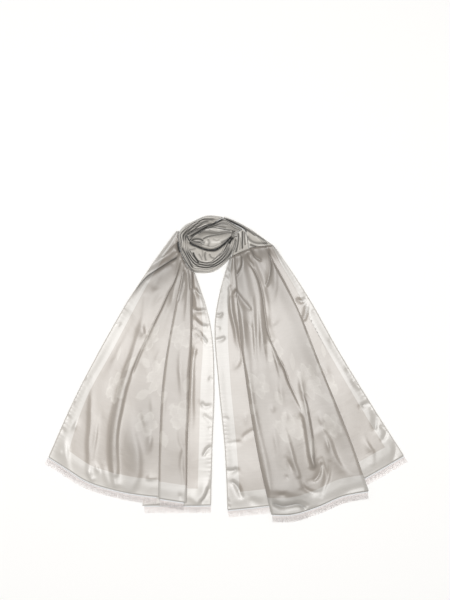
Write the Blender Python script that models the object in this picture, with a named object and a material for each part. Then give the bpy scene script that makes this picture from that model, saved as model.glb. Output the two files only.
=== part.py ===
"""Evening stole laid flat: two pleated drops below a wound neck, with an eyelash fringe on both ends.

The stole is one long cloth, passed once round the place of the neck. It lies on the floor, so +X is the right
of someone who looks down on it, +Y runs from the hems to the neck, and +Z points up. All tables are in
millimetres from one point on the floor between the drops, and placed() moves what is built from them so that
the middle of the footprint is the origin. The meshes are in metres.
"""

import math
from collections import namedtuple

import bmesh
import bpy
import numpy as np
from mathutils import Vector
from mathutils.bvhtree import BVHTree

# Driving sizes, in millimetres

MM = 0.001
CLOTH_WIDTH = 700.0
WALL = 1.2
SEAM_GAP = 0.3
LAYER_PITCH = 2.2
FOLD_STEPS = 4
FOLD_SHOULDER = 24.0
DROP_ROWS = 20
ROWS_NEAR_NECK = 1.15
COLUMNS_A_GATHER = 3
GATHER_HEIGHT = 4.5
GATHER_REACH = 0.34
GATHER_FADE = 1.6
RIDGE_RISE = 0.12
RIDGE_FADE = 0.08
RIDGE_LEFT_AT_END = 0.35
FRINGE_STRIP = 4.0
FRINGE_LOCK = 15.7
FRINGE_PITCH = 7.5
LOCK_SHARE = 0.58
LOCK_TIP_SHARE = 0.62
LOCK_TIP_HEIGHT = 0.35
LOCK_FALL = 4.5
JUST_ABOVE_HEM = 0.985
CREST_PLACE = 0.45
CREST_ROUNDNESS = 0.7
NECK_RIDGE_DRIFT = 0.12
NECK_RIDGE_DRIFTS = 1.5
LIFT_FADE = 1.5
CORE_GAP = 0.8
CORE_HEIGHT = 20.0
CORE_LEAST_HEIGHT = 1.0
CORE_SPOKES = 28
CORE_RINGS = 7
PROBE_SPOKES = 12
PROBE_REACHES = (0.0, 3.6, 6.3, 9.0)
WALL_CLEARANCE = 1.6
END_CLEARANCE = 0.9
REACH_OF_A_SEAM = 16.0
LINE_SAMPLES = 40
SHARP_DEGREES = 50

# The middle of the whole footprint, fringe included, in the tables below

FOOTPRINT_MIDDLE = (2.3, 0.7)

# The warp lines that steer each drop: a place on the flat cloth, counted from the inner edge,
# and five points in plan on the way from the neck to the hem

Rail = namedtuple("Rail", "across neck upper middle lower hem")

LEFT_RAILS = {
    "inner_edge": Rail(0, (-79, 246), (-37, 105), (-28, -42), (-33, -190), (-36.5, -340)),
    "inner_border": Rail(43, (-81, 250), (-60, 104), (-68, -42), (-75, -190), (-79, -340.5)),
    "under_fold": Rail(170, (-94, 264), (-112, 100), (-150, -42), (-185, -192), (-207, -341)),
    "strip_fold": Rail(281, (-82.5, 249), (-83.5, 103), (-91, -42), (-95, -187), (-96.6, -332)),
    "pleat_fold": Rail(349, (-101.5, 270), (-131, 123), (-155, -23), (-163.5, -172), (-166.4, -321.5)),
    "tuck_fold": Rail(374, (-97, 266), (-119, 110), (-137, -35), (-141, -185), (-141, -320)),
    "over_fold": Rail(441, (-106, 280), (-142, 135), (-182, -12), (-203, -160), (-207, -314.5)),
    "outer_crease": Rail(513, (-113.5, 300), (-157, 151), (-228, 10), (-265, -144), (-277, -302)),
    "outer_middle": Rail(594, (-117, 322), (-186, 180), (-264, 40), (-318, -112), (-350, -278)),
    "outer_edge": Rail(CLOTH_WIDTH, (-121, 344), (-219, 208), (-301, 70), (-375.6, -72.7), (-441.6, -220.3)),
}

RIGHT_RAILS = {
    "inner_edge": Rail(0, (10, 274), (-25, 122), (-16.6, -35.6), (-1.3, -192), (6, -352)),
    "strip_fold": Rail(152, (32, 283), (54, 122), (86, -38), (122, -200), (157, -336)),
    "pleat_fold": Rail(205, (23, 280), (34, 118), (54, -43), (80, -203), (115, -362)),
    "pleat_left": Rail(258, (38, 284), (64, 123), (98, -36), (140, -202), (165, -362)),
    "deep_groove": Rail(325, (53, 293), (100, 128), (152, -22), (207, -195), (226, -345)),
    "pleat_right": Rail(404, (77, 301), (140, 142), (197, -10), (254, -174), (292, -317)),
    "outer_fold": Rail(480, (100, 303.5), (178, 157), (240, 2), (301, -147), (357.5, -304)),
    "tuck_fold": Rail(527, (93, 303), (160, 150), (207, -8), (260, -160), (312, -293)),
    "outer_middle": Rail(615, (111, 306), (193, 170), (262, 25), (334, -117), (400, -243)),
    "outer_edge": Rail(CLOTH_WIDTH, (120, 309), (205.6, 181.4), (281.7, 46.4), (362.5, -85.7), (445.6, -216.3)),
}

# The cloth between two folds: the rails that it crosses in order, its layer at each rail with 0 on the
# floor, the columns of faces between them, and where across the cloth it starts to rise freely and where
# it does so in full, with no other layer on it

Panel = namedtuple("Panel", "rails layers columns free")

LEFT_PANELS = (
    Panel(("inner_edge", "inner_border", "under_fold"), (0, 0, 0), (3, 3), (70, 40)),
    Panel(("under_fold", "strip_fold"), (1, 1), (3,), None),
    Panel(("strip_fold", "pleat_fold"), (4, 4), (5,), (280, 281)),
    Panel(("pleat_fold", "tuck_fold"), (3, 3), (1,), None),
    Panel(("tuck_fold", "over_fold", "outer_crease", "outer_middle", "outer_edge"), (2, 2, 0, 0, 0),
          (2, 4, 6, 6), (419, 454)),
)

RIGHT_PANELS = (
    Panel(("inner_edge", "strip_fold"), (0, 0), (8,), (90, 55)),
    Panel(("strip_fold", "pleat_fold"), (1, 1), (2,), None),
    Panel(("pleat_fold", "pleat_left", "deep_groove", "pleat_right", "outer_fold"), (2, 2, 0, 0, 2),
          (3, 5, 5, 5), (204, 205)),
    Panel(("outer_fold", "tuck_fold"), (1, 1), (2,), None),
    Panel(("tuck_fold", "outer_middle", "outer_edge"), (0, 0, 0), (4, 5), (572, 607)),
)

# Soft ridges that the cloth rises into: the panel that carries one, its line in plan, its height and
# the half width over which it falls away

Ridge = namedtuple("Ridge", "panel line height reach")

LEFT_RIDGES = (
    Ridge(4, ((-126, 332), (-160, 286), (-198, 238), (-238, 184)), 8.0, 14.0),
    Ridge(4, ((-122, 266), (-152, 206), (-188, 118), (-242, 8), (-272, -74)), 6.0, 12.0),
    Ridge(4, ((-107, 262), (-124, 205), (-158, 118), (-210, 5), (-238, -100)), 5.5, 12.0),
    Ridge(4, ((-252, -70), (-272, -130), (-280, -200), (-280, -296)), 7.5, 9.0),
    Ridge(4, ((-278, 0), (-308, -90), (-318, -180), (-314, -282)), 5.5, 13.0),
    Ridge(4, ((-205, 190), (-268, 70), (-330, -50), (-374, -150), (-376, -262)), 4.5, 19.0),
    Ridge(4, ((-204, -10), (-232, -120), (-240, -220), (-244, -300)), 5.0, 13.0),
    Ridge(2, ((-100, 240), (-108, 130), (-130, 0), (-141, -150), (-145, -322)), 4.0, 16.0),
    Ridge(0, ((-66, 190), (-56, 110), (-52, 0), (-55, -150), (-58, -336)), 3.0, 13.0),
)

RIGHT_RIDGES = (
    Ridge(2, ((46, 270), (72, 215), (86, 130), (118, 30), (150, -60), (186, -170), (206, -240)), 7.0, 11.0),
    Ridge(2, ((70, 270), (100, 205), (114, 120), (160, 10), (200, -70), (226, -160), (234, -232)), 7.5, 11.0),
    Ridge(2, ((40, 240), (52, 140), (80, 0), (108, -120), (136, -250), (146, -356)), 3.5, 14.0),
    Ridge(2, ((106, 280), (124, 220), (146, 130), (196, 10), (250, -110), (290, -220), (312, -300)), 5.0, 18.0),
    Ridge(2, ((172, -268), (190, -318), (226, -328), (258, -296), (266, -242)), 5.5, 12.0),
    Ridge(0, ((6, 240), (-4, 150), (4, 20), (20, -120), (30, -300)), 2.5, 16.0),
    Ridge(4, ((146, 262), (196, 170), (250, 70), (306, -30), (356, -130), (396, -226)), 4.0, 20.0),
)

Drop = namedtuple("Drop", "panels rails ridges")

DROPS = {
    "left": Drop(LEFT_PANELS, LEFT_RAILS, LEFT_RIDGES),
    "right": Drop(RIGHT_PANELS, RIGHT_RAILS, RIGHT_RIDGES),
}

# The wound neck: stations along a stretch, with its two borders in plan, the height of its crest and
# the height of its inner border

Station = namedtuple("Station", "outer inner crest border")

FRONT_STATIONS = (
    Station((25, 327), (14, 331), 17, 12),
    Station((19, 294), (-7, 310), 22, 13),
    Station((1, 266), (-24, 298.5), 25, 12),
    Station((-30, 244), (-42, 298), 26, 11),
    Station((-62, 240.5), (-57, 302), 27, 11),
    Station((-84, 247), (-68, 306.5), 27, 12),
    Station((-105, 279), (-82, 312), 28, 13),
    Station((-113.5, 308), (-91, 320), 30, 13),
    Station((-117, 336), (-97, 334), 31, 11),
    Station((-103, 357), (-84, 343), 31, 11),
    Station((-78, 370), (-64, 354), 30, 12),
    Station((-50, 382.5), (-46, 361.5), 29, 14),
    Station((-28, 383.3), (-36, 363.5), 28, 16),
    Station((-6, 379.8), (-31, 364), 26, 18),
)

POUCH_STATIONS = (
    Station((-88.5, 319), (-88, 321), 14, 12),
    Station((-80, 313.2), (-77, 333), 19, 9),
    Station((-66, 307.4), (-62, 341), 22, 9),
    Station((-50, 301.5), (-48, 350), 24, 9),
    Station((-34, 299.4), (-26, 352), 25, 9),
    Station((-18, 304), (0, 348), 24, 10),
    Station((-1, 316.5), (18, 346), 22, 12),
    Station((13, 332.8), (27, 341), 18, 14),
)

BACK_STATIONS = (
    Station((-96, 335.6), (-89.5, 322.5), 11, 8),
    Station((-83.5, 341.8), (-77.5, 334.5), 10, 7),
    Station((-63.5, 352.6), (-62.5, 342.5), 9, 6),
    Station((-46, 360), (-48, 351.6), 8, 6),
    Station((-30.5, 362.8), (-26, 353.6), 9, 6),
    Station((-5, 375.5), (0, 349.6), 11, 6),
    Station((19, 362.5), (18.5, 347.6), 10, 7),
    Station((42, 350), (28, 342), 11, 9),
)

RIGHT_STATIONS = (
    Station((-4.2, 380.2), (-3, 377), 18, 12),
    Station((25, 370), (20.5, 363.8), 18, 12),
    Station((60, 351), (45.5, 351), 20, 13),
    Station((85, 334), (53, 339), 20, 14),
    Station((103, 321), (56, 322), 17, 12),
    Station((119.2, 310.2), (58.5, 304), 12, 9),
)

TUCK_STATIONS = (
    Station((27, 338), (43.5, 349), 17, 14),
    Station((26, 326), (51, 339), 17, 13),
    Station((23.6, 310), (54.6, 322), 16, 11),
    Station((20, 293.6), (57, 310), 13, 8),
    Station((15.5, 282.6), (57.5, 301), 9, 6),
)

# Each stretch of the neck: its stations, its rows and columns of points, how many ridges run along it, how
# deep the troughs between them are, and how far other layers lift its outer border above the floor

Stretch = namedtuple("Stretch", "stations rows columns ridges trough lift")

NECK_STRETCHES = {
    "wrap_front": Stretch(FRONT_STATIONS, 30, 17, 5, 4.0, 0.0),
    "wrap_inner": Stretch(POUCH_STATIONS, 14, 8, 2, 1.6, 11.0),
    "wrap_back": Stretch(BACK_STATIONS, 14, 5, 2, 1.0, 8.0),
    "wrap_right": Stretch(RIGHT_STATIONS, 10, 9, 3, 2.0, 0.0),
    "wrap_tuck": Stretch(TUCK_STATIONS, 7, 8, 3, 2.2, 0.0),
}

# The outline of the hidden layers, inside the walls of the wound neck

CORE_CENTRE = (-34.0, 318.0)
CORE_OUTLINE = (
    (10, 322), (5, 302), (-6, 280), (-20, 266), (-40, 256), (-62, 254), (-80, 261), (-94, 284),
    (-102, 308), (-105, 332), (-92, 350), (-72, 360), (-48, 370), (-26, 370), (-6, 364), (14, 352), (20, 338),
)

# Fringe: the drop and the panel that carry it, where it runs on the flat cloth, the top of the layer that
# it lies on, and the place where it has run off that layer and falls to the floor

Fringe = namedtuple("Fringe", "drop panel start end below runs_off")

FRINGES = {
    "left_fringe_inner": Fringe("left", 0, 1.0, 169.0, 0.0, 0.0),
    "left_fringe_pleat": Fringe("left", 2, 285.0, 346.0, 3.6, 349.0),
    "left_fringe_outer": Fringe("left", 4, 402.0, 699.0, 3.6, 452.0),
    "right_fringe_inner": Fringe("right", 0, 1.0, 98.0, 0.0, 0.0),
    "right_fringe_pleat": Fringe("right", 2, 207.0, 477.0, 0.0, 0.0),
    "right_fringe_outer": Fringe("right", 4, 573.0, 699.0, 0.0, 0.0),
}

# Colours of the finish, as linear values

IVORY_SATIN = (0.74, 0.70, 0.65, 1.0)
IVORY_FRINGE = (0.85, 0.82, 0.78, 1.0)
SATIN_ROUGHNESS = 0.42
FRINGE_ROUGHNESS = 0.6


def placed(x, y, z):
    """A point of the tables as a place in the model, which stands on the middle of its footprint."""
    return Vector((x - FOOTPRINT_MIDDLE[0], y - FOOTPRINT_MIDDLE[1], z)) * MM


def smooth_step(value):
    """Rises from 0 to 1 with level ends."""
    clipped = np.clip(value, 0.0, 1.0)
    return clipped * clipped * (3.0 - 2.0 * clipped)


def spline(knots, points, where):
    """Reads a smooth curve through the points at the places asked for, with tangents from the neighbours."""
    knots = np.asarray(knots, float)
    points = np.asarray(points, float)
    where = np.clip(np.asarray(where, float), knots[0], knots[-1])
    slopes = np.empty_like(points)
    spans = np.diff(knots)[:, None]
    secants = np.diff(points, axis=0) / spans
    slopes[0] = secants[0]
    slopes[-1] = secants[-1]
    if len(knots) > 2:
        slopes[1:-1] = (secants[:-1] * spans[1:] + secants[1:] * spans[:-1]) / (spans[:-1] + spans[1:])
        slopes[0] = 1.5 * secants[0] - 0.5 * slopes[1]
        slopes[-1] = 1.5 * secants[-1] - 0.5 * slopes[-2]
    index = np.clip(np.searchsorted(knots, where, side="right") - 1, 0, len(knots) - 2)
    span = spans[index]
    part = ((where - knots[index])[:, None]) / span
    square = part * part
    cube = square * part
    return (
        (2 * cube - 3 * square + 1) * points[index]
        + (cube - 2 * square + part) * span * slopes[index]
        + (3 * square - 2 * cube) * points[index + 1]
        + (cube - square) * span * slopes[index + 1]
    )


def line_distance(places, line):
    """The distance in plan from each place to a smooth line, and how far along the line that is, 0 to 1."""
    knots = np.linspace(0.0, 1.0, len(line))
    steps = np.linspace(0.0, 1.0, LINE_SAMPLES)
    curve = spline(knots, line, steps)
    start = curve[:-1]
    run = curve[1:] - start
    length = (run * run).sum(axis=1)
    offset = places[:, None, :] - start[None, :, :]
    part = np.clip((offset * run[None]).sum(axis=2) / length, 0.0, 1.0)
    gap = np.linalg.norm(offset - part[..., None] * run[None], axis=2)
    nearest = gap.argmin(axis=1)
    rows = np.arange(len(places))
    along = (nearest + part[rows, nearest]) / (LINE_SAMPLES - 1)
    return gap[rows, nearest], along


def ridge_relief(places, ridge):
    """The height that one ridge adds, with soft ends."""
    gap, along = line_distance(places, ridge.line)
    ends = smooth_step(along / RIDGE_RISE) * smooth_step((1.0 - along) / RIDGE_FADE + RIDGE_LEFT_AT_END)
    return ridge.height * ends * np.exp(-((gap / ridge.reach) ** 2))


def layer_height(layer):
    """The height of the middle of the wall in a layer."""
    return WALL / 2 + layer * LAYER_PITCH


def relief(index, panel, across, down, places, ridges):
    """How far a panel rises above its layer: its ridges, and gathers that grow towards the neck."""
    height = sum(ridge_relief(places, ridge) for ridge in ridges if ridge.panel == index)
    near_neck = np.clip(1.0 - down / GATHER_REACH, 0.0, 1.0) ** GATHER_FADE
    share = (across - across[0]) / (across[-1] - across[0])
    gathers = round(sum(panel.columns) / COLUMNS_A_GATHER)
    return height + GATHER_HEIGHT * near_neck * (0.5 - 0.5 * np.cos(2 * math.pi * gathers * share))


def panel_points(index, panel, drop, down, insets):
    """One row of a panel at the place down the drop, as points with their place across the flat cloth."""
    lines = [drop.rails[name][1:] for name in panel.rails]
    posts = np.array([spline(np.linspace(0.0, 1.0, len(line)), line, [down])[0] for line in lines])
    first = posts[1] - posts[0]
    last = posts[-1] - posts[-2]
    posts[0] += first / np.linalg.norm(first) * insets[0]
    posts[-1] -= last / np.linalg.norm(last) * insets[1]
    knots = np.array([drop.rails[name].across for name in panel.rails], float)
    way = 1.0 if knots[-1] > knots[0] else -1.0
    knots = knots * way
    spans = [np.linspace(start, end, count, endpoint=False)
             for start, end, count in zip(knots, knots[1:], panel.columns)]
    across = np.append(np.concatenate(spans), knots[-1])
    plan = spline(knots, posts, across)
    height = layer_height(layer_between(across, knots, panel.layers))
    if panel.free is not None:
        free = smooth_step((across * way - panel.free[0]) / (panel.free[1] - panel.free[0]))
        for inset, distance in zip(insets, (across - across[0], across[-1] - across)):
            if inset:
                free = free * smooth_step(distance / FOLD_SHOULDER)
        height = height + free * relief(index, panel, across, down, plan, drop.ridges)
    return np.column_stack([plan, height]), across * way


def layer_between(across, knots, layers):
    """The layer at each place, easing from one rail's to the next."""
    layer = np.empty(len(across))
    for start, end, low, high in zip(knots, knots[1:], layers, layers[1:]):
        inside = (across >= start) & (across <= end)
        layer[inside] = low + (high - low) * smooth_step((across[inside] - start) / (end - start))
    return layer


def fold_insets(index, panels):
    """How far a panel stops short of the folds at its two ends, which is the radius of each fold."""
    before = 0.0 if index == 0 else fold_radius(panels[index - 1], panels[index])
    after = 0.0 if index == len(panels) - 1 else fold_radius(panels[index], panels[index + 1])
    return before, after


def drop_row(drop, down):
    """One row of a drop from its inner edge to its outer edge, round every fold."""
    row = []
    for index, panel in enumerate(drop.panels):
        points, _ = panel_points(index, panel, drop, down, fold_insets(index, drop.panels))
        if index > 0:
            add_turn(row, points)
        row.extend(points)
    return np.array(row)


def fold_radius(panel, following):
    """Half the height between the layers that a fold joins."""
    return abs(following.layers[0] - panel.layers[-1]) * LAYER_PITCH / 2


def add_turn(row, points):
    """Adds the round of a fold between the end of the row and the start of the next panel."""
    end = row[-1]
    start = points[0]
    outward = end[:2] - row[-2][:2]
    outward = outward / np.linalg.norm(outward)
    middle = (end + start) / 2
    radius = (start[2] - end[2]) / 2
    for step in range(1, FOLD_STEPS):
        angle = math.pi * step / FOLD_STEPS
        shift = outward * abs(radius) * math.sin(angle)
        row.append(np.array([middle[0] + shift[0], middle[1] + shift[1], middle[2] - radius * math.cos(angle)]))


def drop_grid(drop):
    """The middle surface of a drop: rows from the neck to the hem, columns across the cloth."""
    steps = np.linspace(0.0, 1.0, DROP_ROWS) ** ROWS_NEAR_NECK
    return np.array([drop_row(drop, down) for down in steps])


def grid_normals(grid):
    """The unit normal at each point of a grid of points."""
    along = np.gradient(grid, axis=0)
    over = np.gradient(grid, axis=1)
    normals = np.cross(over, along)
    return normals / np.linalg.norm(normals, axis=2, keepdims=True)


def add_material(name, colour, roughness):
    """A Principled material in the colour given."""
    material = bpy.data.materials.new(name)
    material.use_nodes = True
    shader = material.node_tree.nodes["Principled BSDF"]
    shader.inputs["Base Color"].default_value = colour
    shader.inputs["Roughness"].default_value = roughness
    return material


def add_object(name, collection, mesh_builder, colour, roughness):
    """An object named for its sub-part, with its faces outward and its own material."""
    mesh = bpy.data.meshes.new(name)
    bmesh.ops.recalc_face_normals(mesh_builder, faces=mesh_builder.faces)
    mesh_builder.to_mesh(mesh)
    mesh_builder.free()
    mesh.materials.append(add_material(name, colour, roughness))
    mesh.shade_smooth()
    mesh.set_sharp_from_angle(angle=math.radians(SHARP_DEGREES))
    item = bpy.data.objects.new(name, mesh)
    collection.objects.link(item)
    return item


def closed_wall(front, back):
    """A closed wall between two grids of points, each cell cut along the same diagonal on both sides."""
    build = bmesh.new()
    rows, columns = front.shape[:2]
    sides = []
    for grid in (front, back):
        sides.append([[build.verts.new(placed(*grid[i, j])) for j in range(columns)] for i in range(rows)])
    for i in range(rows - 1):
        for j in range(columns - 1):
            for side in sides:
                a, b = side[i][j], side[i][j + 1]
                c, d = side[i + 1][j + 1], side[i + 1][j]
                build.faces.new((a, b, c))
                build.faces.new((a, c, d))
    rim = [(0, j) for j in range(columns)]
    rim += [(i, columns - 1) for i in range(1, rows)]
    rim += [(rows - 1, j) for j in range(columns - 2, -1, -1)]
    rim += [(i, 0) for i in range(rows - 2, 0, -1)]
    upper, under = sides
    for (i, j), (k, m) in zip(rim, rim[1:] + rim[:1]):
        build.faces.new((upper[i][j], upper[k][m], under[k][m], under[i][j]))
    return build


def cloth_wall(grid):
    """Both faces of a wall about its middle surface, with nothing below the floor."""
    normals = grid_normals(grid)
    front = grid + normals * WALL / 2
    back = grid - normals * WALL / 2
    front[..., 2] = np.maximum(front[..., 2], 0.0)
    back[..., 2] = np.maximum(back[..., 2], 0.0)
    return closed_wall(front, back)


def neck_grid(stretch):
    """The middle surface of a stretch of the wound neck, from its outer border to its inner one."""
    stations = stretch.stations
    knots = np.linspace(0.0, 1.0, len(stations))
    steps = np.linspace(0.0, 1.0, stretch.rows)
    outer = spline(knots, [station.outer for station in stations], steps)
    inner = spline(knots, [station.inner for station in stations], steps)
    heights = spline(knots, [(station.crest, station.border) for station in stations], steps)
    over = np.linspace(0.0, 1.0, stretch.columns)
    grid = np.empty((stretch.rows, stretch.columns, 3))
    for i, (crest, border) in enumerate(heights):
        grid[i, :, :2] = outer[i] + (inner[i] - outer[i]) * over[:, None]
        grid[i, :, 2] = stretch_height(over, crest, border, stretch, steps[i])
    return grid


def stretch_height(over, crest, border, stretch, along):
    """The height across a stretch: up from its outer border, over the crest and down to its inner border."""
    rise = np.sin(np.clip(over / CREST_PLACE, 0.0, 1.0) * math.pi / 2) ** CREST_ROUNDNESS
    fall = smooth_step((over - CREST_PLACE) / (1.0 - CREST_PLACE))
    body = WALL / 2 + (crest - WALL / 2) * rise - (crest - border) * fall
    drift = NECK_RIDGE_DRIFT * math.sin(2 * math.pi * along * NECK_RIDGE_DRIFTS)
    trough = 0.5 + 0.5 * np.cos(2 * math.pi * (stretch.ridges * over + drift))
    lift = stretch.lift * (1.0 - over) ** LIFT_FADE
    return body + lift - stretch.trough * trough * np.sin(math.pi * over)


def neck_core(collection, walls):
    """The hidden layers of the neck as one rounded solid that stays below every wall on it."""
    trees = [BVHTree.FromObject(wall, bpy.context.evaluated_depsgraph_get()) for wall in walls]
    outline = np.array(CORE_OUTLINE + CORE_OUTLINE[:1], float)
    knots = np.linspace(0.0, 1.0, len(outline))
    spokes = spline(knots, outline, np.linspace(0.0, 1.0, CORE_SPOKES, endpoint=False))
    centre = np.array(CORE_CENTRE)
    build = bmesh.new()
    rings = []
    for ring in range(1, CORE_RINGS + 1):
        share = ring / CORE_RINGS
        places = centre + (spokes - centre) * share
        limit = [core_height(trees, place) for place in places]
        rings.append([build.verts.new(placed(x, y, z)) for (x, y), z in zip(places, limit)])
    top = build.verts.new(placed(*centre, core_height(trees, centre)))
    foot = [build.verts.new(placed(x, y, 0.0)) for x, y in spokes]
    count = len(spokes)
    for k in range(count):
        following = (k + 1) % count
        build.faces.new((top, rings[0][k], rings[0][following]))
        for inner, outer in zip(rings, rings[1:] + [foot]):
            build.faces.new((inner[k], outer[k], outer[following], inner[following]))
    build.faces.new(foot)
    bmesh.ops.triangulate(build, faces=[face for face in build.faces if len(face.verts) == 4])
    return add_object("neck_layers", collection, build, IVORY_SATIN, SATIN_ROUGHNESS)


def core_height(trees, place):
    """The lowest wall met above a place and round it, less the gap to it."""
    lowest = CORE_HEIGHT
    for spoke in range(PROBE_SPOKES):
        angle = 2 * math.pi * spoke / PROBE_SPOKES
        for reach in PROBE_REACHES:
            x = place[0] + reach * math.cos(angle)
            y = place[1] + reach * math.sin(angle)
            for tree in trees:
                hit = tree.ray_cast(placed(x, y, -CORE_GAP), Vector((0, 0, 1)))[0]
                if hit is not None:
                    lowest = min(lowest, hit.z / MM)
    return max(lowest - CORE_GAP, CORE_LEAST_HEIGHT)


def hem_line(drop, fringe):
    """Points along a stretch of the hem, with the way square to it and the top of what lies below it."""
    panel = drop.panels[fringe.panel]
    insets = fold_insets(fringe.panel, drop.panels)
    hem, places = panel_points(fringe.panel, panel, drop, 1.0, insets)
    above, _ = panel_points(fringe.panel, panel, drop, JUST_ABOVE_HEM, insets)
    length = np.linalg.norm(np.diff(hem, axis=0), axis=1).sum()
    locks = round(length * (fringe.end - fringe.start) / np.ptp(places) / FRINGE_PITCH)
    edges = np.array([(lock + side) / locks for lock in range(locks) for side in (0.0, LOCK_SHARE)] + [1.0])
    asked = fringe.start + (fringe.end - fringe.start) * edges
    points, upper = (
        np.column_stack([np.interp(asked, places, row[:, axis]) for axis in range(3)]) for row in (hem, above)
    )
    run = np.gradient(points[:, :2], axis=0)
    way = np.column_stack([run[:, 1], -run[:, 0]])
    way *= np.sign((way * (points - upper)[:, :2]).sum(axis=1))[:, None]
    floors = np.where(asked < fringe.runs_off, fringe.below, 0.0)
    return points, way / np.linalg.norm(way, axis=1, keepdims=True), floors


def fringe_comb(name, collection, drop, fringe):
    """A narrow strip beyond the hem with locks that run on from it, all one solid."""
    points, way, floors = hem_line(drop, fringe)
    build = bmesh.new()
    near, far = [], []
    for point, direction in zip(points, way):
        for row, distance in ((near, SEAM_GAP), (far, SEAM_GAP + FRINGE_STRIP)):
            plan = point[:2] + direction * distance
            row.append([build.verts.new(placed(*plan, point[2] + side)) for side in (WALL / 2, -WALL / 2)])
    for k in range(len(points) - 1):
        build.faces.new((near[k][0], near[k + 1][0], far[k + 1][0], far[k][0]))
        build.faces.new((near[k][1], far[k][1], far[k + 1][1], near[k + 1][1]))
        build.faces.new((near[k][0], near[k][1], near[k + 1][1], near[k + 1][0]))
        if k % 2:
            build.faces.new((far[k][0], far[k + 1][0], far[k + 1][1], far[k][1]))
        else:
            add_lock(build, far[k], far[k + 1], points[k:k + 2], way[k:k + 2], floors[k:k + 2].max())
    build.faces.new((near[0][0], far[0][0], far[0][1], near[0][1]))
    build.faces.new((near[-1][0], near[-1][1], far[-1][1], far[-1][0]))
    return add_object(name, collection, build, IVORY_FRINGE, FRINGE_ROUGHNESS)


def add_lock(build, left, right, points, way, floor):
    """One lock of fringe from the strip's outer edge to its tip, narrower there and lower."""
    middle = points.mean(axis=0)
    direction = way.mean(axis=0)
    half = (points[1] - points[0])[:2] / 2 * LOCK_TIP_SHARE
    end = middle[:2] + direction * (SEAM_GAP + FRINGE_STRIP + FRINGE_LOCK)
    low = max(floor + LOCK_TIP_HEIGHT, middle[2] - WALL / 2 - LOCK_FALL)
    high = low + WALL * LOCK_TIP_SHARE
    tips = []
    for side in (-1, 1):
        plan = end + half * side
        tips.append([build.verts.new(placed(*plan, z)) for z in (high, low)])
    build.faces.new((left[0], right[0], tips[1][0], tips[0][0]))
    build.faces.new((left[1], tips[0][1], tips[1][1], right[1]))
    build.faces.new((left[0], tips[0][0], tips[0][1], left[1]))
    build.faces.new((right[0], right[1], tips[1][1], tips[1][0]))
    build.faces.new((tips[0][0], tips[1][0], tips[1][1], tips[0][1]))


def moved_clear(grid, seam, clearance=WALL_CLEARANCE, first_row=False):
    """Moves what lies too near a seam, or past it, to the seam's left side. A first row is laid along it."""
    start = seam[:-1]
    run = seam[1:] - start
    length = np.linalg.norm(run, axis=1)
    unit = run / length[:, None]
    left = np.column_stack([-unit[:, 1], unit[:, 0]])
    flat = grid.reshape(-1, grid.shape[-1])
    places = flat[:, :2]
    offset = places[:, None, :] - start[None]
    part = np.clip((offset * unit[None]).sum(axis=2), 0.0, length[None])
    nearest_points = start[None] + part[..., None] * unit[None]
    gap = np.linalg.norm(places[:, None, :] - nearest_points, axis=2)
    nearest = gap.argmin(axis=1)
    rows = np.arange(len(places))
    on_seam = nearest_points[rows, nearest]
    way = left[nearest]
    side = ((places - on_seam) * way).sum(axis=1)
    past_end = ((nearest == 0) & (part[rows, nearest] <= 0)) | (
        (nearest == len(start) - 1) & (part[rows, nearest] >= length[-1]))
    too_near = (side < clearance) & (gap[rows, nearest] < REACH_OF_A_SEAM) & ~past_end
    if first_row:
        too_near[:grid.shape[1]] = True
    places[too_near] = (on_seam + way * clearance)[too_near]
    return grid


def neck_grids():
    """The middle surfaces of the wound neck, each moved clear of those that lie round it."""
    grids = {name: neck_grid(stretch) for name, stretch in NECK_STRETCHES.items()}
    front, right = grids["wrap_front"], grids["wrap_right"]
    front_inside = front[::-1, -1, :2]
    moved_clear(right, front[-1, ::-1, :2])
    right_inside = right[::-1, -1, :2]
    pouch = moved_clear(grids["wrap_inner"], front_inside)
    back = moved_clear(grids["wrap_back"], pouch[:, -1, :2])
    moved_clear(back, front_inside)
    moved_clear(back, right_inside)
    tuck = moved_clear(grids["wrap_tuck"], front[:, 0, :2])
    moved_clear(tuck, right_inside)
    moved_clear(tuck, back[-1, :, :2])
    moved_clear(tuck, pouch[-1, ::-1, :2])
    return grids


def build_stole():
    """Builds every sub-part of the stole."""
    collection = bpy.data.collections.new("Evening stole")
    bpy.context.scene.collection.children.link(collection)
    grids = neck_grids()
    front = grids["wrap_front"][:, 0, :2]
    tuck_end = grids["wrap_tuck"][-1, ::-1, :2]
    below_tuck = front[front[:, 1] < tuck_end[-1, 1] - WALL_CLEARANCE]
    seams = {
        "left": (front, WALL_CLEARANCE),
        "right": (np.vstack([grids["wrap_right"][-1, :, :2], tuck_end, below_tuck]), END_CLEARANCE),
    }
    for side, drop in DROPS.items():
        grid = moved_clear(drop_grid(drop), *seams[side], first_row=True)
        add_object(f"{side}_drop", collection, cloth_wall(grid), IVORY_SATIN, SATIN_ROUGHNESS)
    walls = []
    for name, grid in grids.items():
        walls.append(add_object(name, collection, cloth_wall(grid), IVORY_SATIN, SATIN_ROUGHNESS))
    bpy.context.view_layer.update()
    neck_core(collection, walls)
    for name, fringe in FRINGES.items():
        fringe_comb(name, collection, DROPS[fringe.drop], fringe)


for item in list(bpy.data.objects):
    bpy.data.objects.remove(item, do_unlink=True)
build_stole()
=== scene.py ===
import math
from collections import namedtuple

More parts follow.
